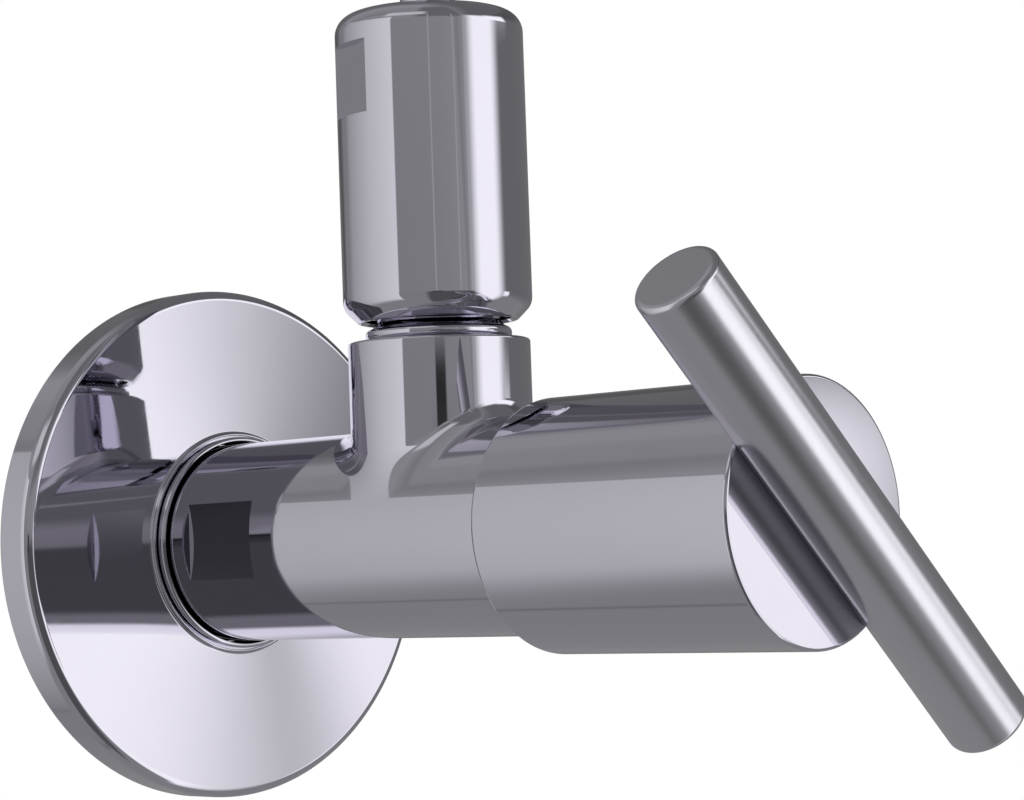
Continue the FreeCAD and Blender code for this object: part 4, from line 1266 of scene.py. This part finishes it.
def sleeve_nut(sizes, finish):
    """The long nut with its chamfered foot, crowned top and pair of spanner flats."""
    outlet = outlet_axis(sizes)
    radius = sizes.nut_radius
    thread_r = 0.00837
    thread_lead = 0.0003
    chamber_r = 0.0079
    hole_r = sizes.tube_radius + TUBE_GAP
    bottom = sizes.nut_bottom
    top = sizes.nut_top
    ceiling = top - 0.0032
    step = bottom + 0.013
    flat_low = 0.0471
    flat_high = 0.0554
    inner = radius - sizes.nut_flat_depth
    beyond = 0.014
    turned = Matrix.Rotation(sizes.nut_flat_turn, 4, "Z")
    cuts = Cutter(outlet)
    for side in (-1, 1):
        low, high = sorted((side * inner, side * beyond))
        cuts.box((low, -radius, flat_low), (high, radius, flat_high), turned)
    return turned_piece("sleeve_nut", [
        (bottom, thread_r + thread_lead, 0),
        (bottom, radius - sizes.nut_foot_chamfer, 0.0005),
        (bottom + sizes.nut_foot_chamfer, radius, 0.002),
        (top, radius, sizes.nut_top_round),
        (top, hole_r, 0.0003),
        (ceiling, hole_r, 0),
        (ceiling, chamber_r, 0),
        (step, chamber_r, 0),
        (step, thread_r, 0),
        (bottom + thread_lead, thread_r, 0),
    ], outlet, finish, cuts)


def outlet_tube(sizes, finish):
    """The narrow tube that runs up through the nut."""
    foot = sizes.branch_top + 0.0023
    bore = sizes.tube_radius - TUBE_WALL
    return turned_piece("tube_stub", [
        (foot, bore, 0),
        (foot, sizes.tube_radius, 0.0002),
        (sizes.tube_top, sizes.tube_radius, 0.0002),
        (sizes.tube_top, bore, 0),
    ], outlet_axis(sizes), finish)


def new_finish(name):
    """An empty material with its surface shader, and the wiring for it."""
    material = bpy.data.materials.new(name)
    material.use_nodes = True
    tree = material.node_tree
    tree.nodes.clear()
    w = Wiring(tree)
    surface = w.node("ShaderNodeBsdfPrincipled")
    sink = w.node("ShaderNodeOutputMaterial")
    w.join(surface.outputs[0], sink.inputs["Surface"])
    return material, w, surface


def grain(w, scale, detail=3.0, stretch=(1.0, 1.0, 1.0), turn=(0.0, 0.0, 0.0)):
    """Noise on the piece's own coordinates, stretched along a line where asked."""
    place = w.node("ShaderNodeMapping")
    w.join(w.node("ShaderNodeTexCoord").outputs["Object"], place.inputs["Vector"])
    place.inputs["Scale"].default_value = stretch
    place.inputs["Rotation"].default_value = turn
    noise = w.node("ShaderNodeTexNoise")
    w.join(place.outputs[0], noise.inputs["Vector"])
    noise.inputs["Scale"].default_value = scale
    noise.inputs["Detail"].default_value = detail
    return noise.outputs[0]


def relief(w, surface, height, distance):
    """A very shallow relief under the light."""
    bump = w.node("ShaderNodeBump")
    w.join(height, bump.inputs["Height"])
    bump.inputs["Distance"].default_value = distance
    bump.inputs["Strength"].default_value = 1.0
    w.join(bump.outputs[0], surface.inputs["Normal"])


def mottled(w, tint, scale, darkest, lightest):
    """One tint that drifts between a darker and a lighter shade."""
    return w.blend(grain(w, scale), Vector(tint) * darkest, Vector(tint) * lightest)


def dress_surface(w, surface, tint, marks, roughness, spread=(0.3, 0.7), metallic=0.0):
    """Gives a surface its tint, and a roughness that follows the marks over a spread."""
    w.join(tint, surface.inputs["Base Color"])
    w.join(w.between(marks, *spread, *roughness), surface.inputs["Roughness"])
    surface.inputs["Metallic"].default_value = metallic


def chrome_finish(w, surface, finish):
    """Polished plate: an even mirror, with faint cloudiness, wipe marks and waviness."""
    wipes = grain(w, 900.0, 2.0, (1.0, 0.15, 1.0))
    mean = finish.chrome_roughness
    dress_surface(w, surface, mottled(w, finish.chrome, 60.0, 0.97, 1.03), wipes,
                  (mean * 0.8, mean * 1.5), spread=(0.35, 0.7), metallic=1.0)
    relief(w, surface, grain(w, 130.0, 1.0), 2.5e-6)


def satin_finish(w, surface, finish):
    """Satin metal with a fine grain along the bar, and painted shade that darkens it where the bar
    lies close to the knob.
    """
    turn = bpy.context.scene.valve_sizes.bar_turn
    streaks = grain(w, 2600.0, 3.0, (1.0, 1.0, 0.03), (0.0, turn, 0.0))
    # Painted shade: where ambient occlusion finds the knob close by, the bar's colour falls to half
    # its tint, darkening its underside and its seat.
    nearness = w.node("ShaderNodeAmbientOcclusion", samples=8)
    nearness.inputs["Distance"].default_value = 0.006
    unshaded_share = w.between(nearness.outputs["AO"], 0.2, 0.9, 0.0, 1.0)
    metal = mottled(w, finish.satin, 90.0, 0.97, 1.03)
    mean = finish.satin_roughness
    dress_surface(w, surface, w.blend(unshaded_share, Vector(finish.satin) * 0.5, metal), streaks,
                  (mean * 0.93, mean * 1.07), metallic=1.0)
    relief(w, surface, streaks, 4e-7)


def brass_finish(w, surface, finish):
    """Turned brass with fine tool marks round it and slight darkening."""
    marks = grain(w, 700.0, 2.0, (0.08, 1.0, 0.08))
    dress_surface(w, surface, mottled(w, finish.brass, 220.0, 0.82, 1.08), marks, (0.18, 0.36),
                  metallic=1.0)
    relief(w, surface, marks, 6e-6)


def steel_finish(w, surface, finish):
    """Cold formed stainless steel with a dull sheen."""
    dress_surface(w, surface, mottled(w, finish.steel, 500.0, 0.85, 1.05), grain(w, 1500.0),
                  (0.24, 0.42), metallic=1.0)
    relief(w, surface, grain(w, 1100.0), 4e-6)


def ceramic_finish(w, surface, finish):
    """Lapped ceramic: a fine speckle under a faint gloss."""
    dress_surface(w, surface, mottled(w, finish.ceramic, 2400.0, 0.93, 1.03), grain(w, 400.0),
                  (0.12, 0.24))
    surface.inputs["Coat Weight"].default_value = 0.2


def rubber_finish(w, surface, finish):
    """Moulded black rubber with a soft bloom."""
    dress_surface(w, surface, mottled(w, finish.rubber, 350.0, 0.7, 1.6), grain(w, 900.0),
                  (0.5, 0.68))
    relief(w, surface, grain(w, 1600.0), 8e-6)


def plastic_finish(w, surface, finish):
    """Moulded acetal: smooth, slightly waxy and uneven in tone."""
    dress_surface(w, surface, mottled(w, finish.plastic, 260.0, 0.92, 1.03), grain(w, 700.0),
                  (0.34, 0.48))
    surface.inputs["Subsurface Weight"].default_value = 0.1
    surface.inputs["Subsurface Scale"].default_value = 0.001


# The record's material slots, with the name and the maker of each one's finish.
FINISHES = {
    "chrome": ("polished_chrome", chrome_finish),
    "satin_bar": ("satin_metal", satin_finish),
    "brass": ("turned_brass", brass_finish),
    "ceramic": ("lapped_ceramic", ceramic_finish),
    "rubber": ("seal_rubber", rubber_finish),
    "steel": ("screw_steel", steel_finish),
    "white_plastic": ("moulded_acetal", plastic_finish),
}


def finish_named(slot):
    """The finish for one of the record's material slots, made when it is first asked for."""
    label, dress = FINISHES[slot]
    material = bpy.data.materials.get(label)
    if material is None:
        material, w, surface = new_finish(label)
        dress(w, surface, bpy.context.scene.valve_finish)
    return material


def settle(piece, body, slot, *nodes):
    """Dresses a piece and ties it to its body, its slot and the nodes that it stands for."""
    material = finish_named(slot)
    piece.data.materials.clear()
    piece.data.materials.append(material)
    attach(piece, body)
    if nodes:
        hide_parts(*nodes)


def soft_window(w, azimuth, elevation, left, right, bottom, top):
    """A window in the studio's light: each side is (degrees, width of its soft edge)."""
    share = None
    for value, (place, soft), rising in ((azimuth, left, True), (azimuth, right, False),
                                         (elevation, bottom, True), (elevation, top, False)):
        ends = (0.0, 1.0) if rising else (1.0, 0.0)
        edge = w.between(value, shifted(w, place, -soft / 2), shifted(w, place, soft / 2),
                         *ends, soft=True)
        share = edge if share is None else w.math("MULTIPLY", share, edge)
    return share


def shifted(w, place, step):
    """A fixed place moved by a step, or a sloping one moved by its node."""
    if isinstance(place, bpy.types.NodeSocket):
        return w.math("ADD", place, step)
    return place + step


def studio_world():
    """Soft grey surroundings with a wide panel on the left, a strip in front and a white ground."""
    world = bpy.data.worlds.new("studio")
    world.use_nodes = True
    world.node_tree.nodes.clear()
    w = Wiring(world.node_tree)
    direction = w.node("ShaderNodeSeparateXYZ")
    w.join(w.node("ShaderNodeTexCoord").outputs["Generated"], direction.inputs[0])
    x, y, z = direction.outputs
    azimuth = w.math("DEGREES", w.math("ARCTAN2", y, x))
    from_behind = w.math("WRAP", azimuth, 360.0, 0.0)
    elevation = w.math("DEGREES", w.math("ARCSINE", z))

    about_valve = w.math("DEGREES", w.math("ARCTAN2", z, x))
    light = levels(w, about_valve, (-180, 0.27), (-110, 0.28), (-102, 0.28), (-100, 0.19),
                   (-98, 0.28), (-25, 0.28), (-15, 0.22), (-5, 0.18), (15, 0.18), (25, 0.11),
                   (35, 0.11), (40, 0.16), (75, 0.16), (87, 0.23), (95, 0.35), (105, 0.35),
                   (110, 0.32), (125, 0.31), (130, 0.26), (138, 0.30), (142, 0.34), (165, 0.31),
                   (180, 0.27))
    panel_level = levels(w, azimuth, (80, 0.25), (96, 0.27), (105, 0.41), (130, 0.57), (143, 0.66),
                         (178, 0.83))
    strip_foot = w.math("MULTIPLY_ADD", azimuth, -1.5, -135.0)

    # Laid over one another in this order: the angle round, the four sides, and the light's level.
    windows = (
        # Shade behind the valve, over the level and under it.
        (azimuth, (-150.0, 14.0), (-92.0, 10.0), (18.0, 10.0), (75.0, 20.0), 0.18),
        (azimuth, (-146.0, 8.0), (-86.0, 10.0), (-70.0, 20.0), (2.0, 4.0), 0.10),
        # The wide panel, the strip with its sloping foot, and the card and the light beside it.
        (azimuth, (84.0, 8.0), (179.0, 1.6), (-36.0, 20.0), (25.2, 0.7), panel_level),
        (azimuth, (-86.0, 18.0), (-48.5, 17.0), (strip_foot, 14.0), (24.0, 10.0), 1.30),
        (azimuth, (-46.0, 5.0), (-37.0, 4.0), (-16.0, 10.0), (3.5, 3.0), 1.25),
        (azimuth, (-60.0, 10.0), (-26.0, 8.0), (11.5, 2.0), (26.0, 8.0), 1.36),
        # Two narrow gaps, the lamp from behind and one dark patch.
        (azimuth, (-135.6, 1.0), (-134.0, 1.0), (5.5, 1.0), (30.0, 8.0), 0.42),
        (azimuth, (-105.8, 1.0), (-104.2, 1.0), (5.5, 1.0), (30.0, 8.0), 0.42),
        (from_behind, (166.0, 10.0), (222.0, 12.0), (31.0, 5.0), (46.0, 8.0), 0.66),
        (azimuth, (-139.5, 2.0), (-127.0, 3.0), (0.0, 8.0), (4.6, 1.2), 0.03),
    )
    for angle, left, right, bottom, top, level in windows:
        light = w.blend(soft_window(w, angle, elevation, left, right, bottom, top), light, level)

    around = w.node("ShaderNodeBackground")
    w.join(light, around.inputs["Color"])
    ground = w.node("ShaderNodeBackground")
    ground.inputs["Color"].default_value = (1.0, 1.0, 1.0, 1.0)
    seen = w.node("ShaderNodeLightPath").outputs["Is Camera Ray"]
    both = mixed(w, seen, around, ground)
    w.join(both, w.node("ShaderNodeOutputWorld").inputs["Surface"])
    bpy.context.scene.world = world


def mixed(w, share, first, second):
    """Two shaders mixed by a share."""
    both = w.node("ShaderNodeMixShader")
    for output, socket in zip((share, first.outputs[0], second.outputs[0]), both.inputs):
        w.join(output, socket)
    return both.outputs[0]


def levels(w, angle, *stops):
    """Grey levels at given angles, in degrees, blended in between."""
    ramp = w.node("ShaderNodeValToRGB")
    w.join(w.between(angle, -180.0, 180.0, 0.0, 1.0), ramp.inputs[0])
    elements = ramp.color_ramp.elements
    while len(elements) > 1:
        elements.remove(elements[-1])
    for number, (place, level) in enumerate(stops):
        position = (place + 180.0) / 360.0
        element = elements[0] if number == 0 else elements.new(position)
        element.position = position
        element.color = (level, level, level, 1.0)
    return ramp.outputs[0]


def pale_floor(studio):
    """A plain round floor that glows with painted light, brighter towards its rim, and fades into
    the white ground.
    """
    columns = 96
    rings = (0.25, 0.6, 1.0)
    fade_start = 0.1
    fade_end = 0.9
    least_glow = 0.62
    points = [(0.0, 0.0, -studio.floor_drop)]
    for ring in rings:
        for column in range(columns):
            angle = 2 * math.pi * column / columns
            points.append((ring * math.cos(angle), ring * math.sin(angle), -studio.floor_drop))
    faces = [(0, 1 + c, 1 + (c + 1) % columns) for c in range(columns)]
    for number in range(len(rings) - 1):
        base = 1 + number * columns
        for c in range(columns):
            following = (c + 1) % columns
            faces.append((base + c, base + columns + c,
                          base + columns + following, base + following))
    mesh = bpy.data.meshes.new("pale_floor")
    mesh.from_pydata(points, [], faces)
    floor = new_object("pale_floor", mesh)
    material, w, surface = new_finish("pale_floor")
    w.join(mottled(w, studio.floor_colour, 9.0, 0.985, 1.0), surface.inputs["Base Color"])
    surface.inputs["Roughness"].default_value = 0.8
    place = w.node("ShaderNodeSeparateXYZ")
    w.join(w.node("ShaderNodeTexCoord").outputs["Object"], place.inputs[0])
    x, y, _ = place.outputs
    distance = w.math("SQRT", w.math("ADD", w.math("MULTIPLY", x, x), w.math("MULTIPLY", y, y)))
    # Painted glow: the floor is mostly emission near the middle and wholly emission at its rim.
    share = w.between(distance, fade_start, fade_end, least_glow, 1.0, soft=True)
    both = mixed(w, share, surface, w.node("ShaderNodeEmission"))
    sink = next(node for node in w.tree.nodes if node.type == "OUTPUT_MATERIAL")
    w.join(both, sink.inputs["Surface"])
    mesh.materials.append(material)
    floor.visible_glossy = False
    floor.visible_diffuse = False


def photo_camera(studio):
    """The camera at the photograph's viewing angle."""
    frame_width = 36.0
    nearest = 0.01
    farthest = 20.0
    yaw, pitch, roll = studio.camera_yaw, studio.camera_pitch, studio.camera_roll
    ahead = Vector((math.sin(yaw) * math.cos(pitch), math.cos(yaw) * math.cos(pitch),
                    math.sin(pitch)))
    level = ahead.cross(Vector((0, 0, 1))).normalized()
    upright = level.cross(ahead)
    right = level * math.cos(roll) + upright * math.sin(roll)
    up = upright * math.cos(roll) - level * math.sin(roll)
    data = bpy.data.cameras.new("camera")
    data.sensor_fit = "HORIZONTAL"
    data.sensor_width = frame_width
    data.lens = studio.lens
    data.clip_start = nearest
    data.clip_end = farthest
    camera = new_object("camera", data)
    turn = Matrix((right, up, -ahead)).transposed().to_4x4()
    camera.matrix_world = Matrix.Translation(Vector(studio.camera_place)) @ turn
    bpy.context.scene.camera = camera


class VALVE_OT_body(bpy.types.Operator):
    """Build the forged tee body and its two pipe threads"""
    bl_idname = "valve.body"
    bl_label = "Body"

    def execute(self, context):
        sizes = context.scene.valve_sizes
        chrome = finish_named("chrome")
        settle(tee_body(sizes), "valve", "chrome", "valve_body")
        end = sizes.inlet_end
        inlet = valve_axis((0, end, 0))
        settle(pipe_thread("inlet_thread", sizes.inlet_minor, sizes.inlet_major, sizes.inlet_pitch,
                           end, inlet, chrome), "valve", "chrome")
        neck = outlet_axis(sizes, neck_thread_start(sizes))
        settle(pipe_thread("neck_thread", sizes.neck_minor, sizes.neck_major, sizes.neck_pitch,
                           sizes.neck_height, neck, chrome), "valve", "chrome")
        return {"FINISHED"}


class VALVE_OT_flange(bpy.types.Operator):
    """Build the wall flange with its collar"""
    bl_idname = "valve.flange"
    bl_label = "Wall flange"

    def execute(self, context):
        sizes = context.scene.valve_sizes
        settle(wall_flange(sizes, finish_named("chrome")), "flange", "chrome", "wall_flange")
        return {"FINISHED"}


class VALVE_OT_handle(bpy.types.Operator):
    """Build the knob and its satin cross bar"""
    bl_idname = "valve.handle"
    bl_label = "Handle"

    def execute(self, context):
        sizes = context.scene.valve_sizes
        settle(knob(sizes, finish_named("chrome")), "handle", "chrome", "handle_hub")
        settle(cross_bar(sizes, finish_named("satin_bar")), "handle", "satin_bar", "cross_bar")
        return {"FINISHED"}


class VALVE_OT_outlet(bpy.types.Operator):
    """Build the long sleeve nut and the outlet tube"""
    bl_idname = "valve.outlet"
    bl_label = "Outlet"

    def execute(self, context):
        sizes = context.scene.valve_sizes
        settle(sleeve_nut(sizes, finish_named("chrome")), "valve", "chrome", "outlet_nut")
        settle(outlet_tube(sizes, finish_named("chrome")), "valve", "chrome", "outlet_tube")
        return {"FINISHED"}


class VALVE_OT_inner_pieces(bpy.types.Operator):
    """Dress the screws, the headwork, the seals and the outlet joint's rings"""
    bl_idname = "valve.inner_pieces"
    bl_label = "Inner pieces"

    def execute(self, context):
        dressed = 0
        replaced = {"valve_body", "wall_flange", "handle_hub", "cross_bar", "outlet_nut",
                    "outlet_tube"}
        for subpart in frame["record"]["subparts"]:
            if subpart["node"] in replaced:
                continue
            node = frame["nodes"][subpart["node"]]
            node.data.materials.clear()
            node.data.materials.append(finish_named(subpart["material_slot"]))
            dressed += 1
        if dressed == 0:
            raise RuntimeError("no inner piece was found to dress")
        return {"FINISHED"}


class VALVE_OT_stage(bpy.types.Operator):
    """Set the camera, the floor and the studio's light"""
    bl_idname = "valve.stage"
    bl_label = "Stage"

    def execute(self, context):
        studio = context.scene.valve_studio
        studio_world()
        pale_floor(studio)
        photo_camera(studio)
        context.scene.view_settings.view_transform = "Standard"
        return {"FINISHED"}


OPERATORS = (VALVE_OT_body, VALVE_OT_flange, VALVE_OT_handle, VALVE_OT_outlet,
             VALVE_OT_inner_pieces, VALVE_OT_stage)


class VALVE_PT_panel(bpy.types.Panel):
    """The valve's builders and sizes in the sidebar"""
    bl_idname = "VALVE_PT_panel"
    bl_label = "Stop valve"
    bl_space_type = "VIEW_3D"
    bl_region_type = "UI"
    bl_category = "Stop valve"

    def draw(self, context):
        layout = self.layout
        for operator in OPERATORS:
            layout.operator(operator.bl_idname)
        scene = context.scene
        for group in (scene.valve_sizes, scene.valve_finish, scene.valve_studio):
            column = layout.column(align=True)
            for name in group.bl_rna.properties.keys():
                if name not in ("rna_type", "name"):
                    column.prop(group, name)


CLASSES = (ValveSizes, ValveFinish, ValveStudio) + OPERATORS + (VALVE_PT_panel,)


def register():
    """Adds the classes, and the three groups of settings to the scene."""
    for item in CLASSES:
        bpy.utils.register_class(item)
    bpy.types.Scene.valve_sizes = PointerProperty(type=ValveSizes)
    bpy.types.Scene.valve_finish = PointerProperty(type=ValveFinish)
    bpy.types.Scene.valve_studio = PointerProperty(type=ValveStudio)


def unregister():
    """Takes the settings and the classes away again."""
    del bpy.types.Scene.valve_studio
    del bpy.types.Scene.valve_finish
    del bpy.types.Scene.valve_sizes
    for item in reversed(CLASSES):
        bpy.utils.unregister_class(item)


def main():
    """Builds every piece in order."""
    register()
    for step in (bpy.ops.valve.body, bpy.ops.valve.flange, bpy.ops.valve.handle,
                 bpy.ops.valve.outlet, bpy.ops.valve.inner_pieces, bpy.ops.valve.stage):
        step()


if __name__ == "__main__":
    main()
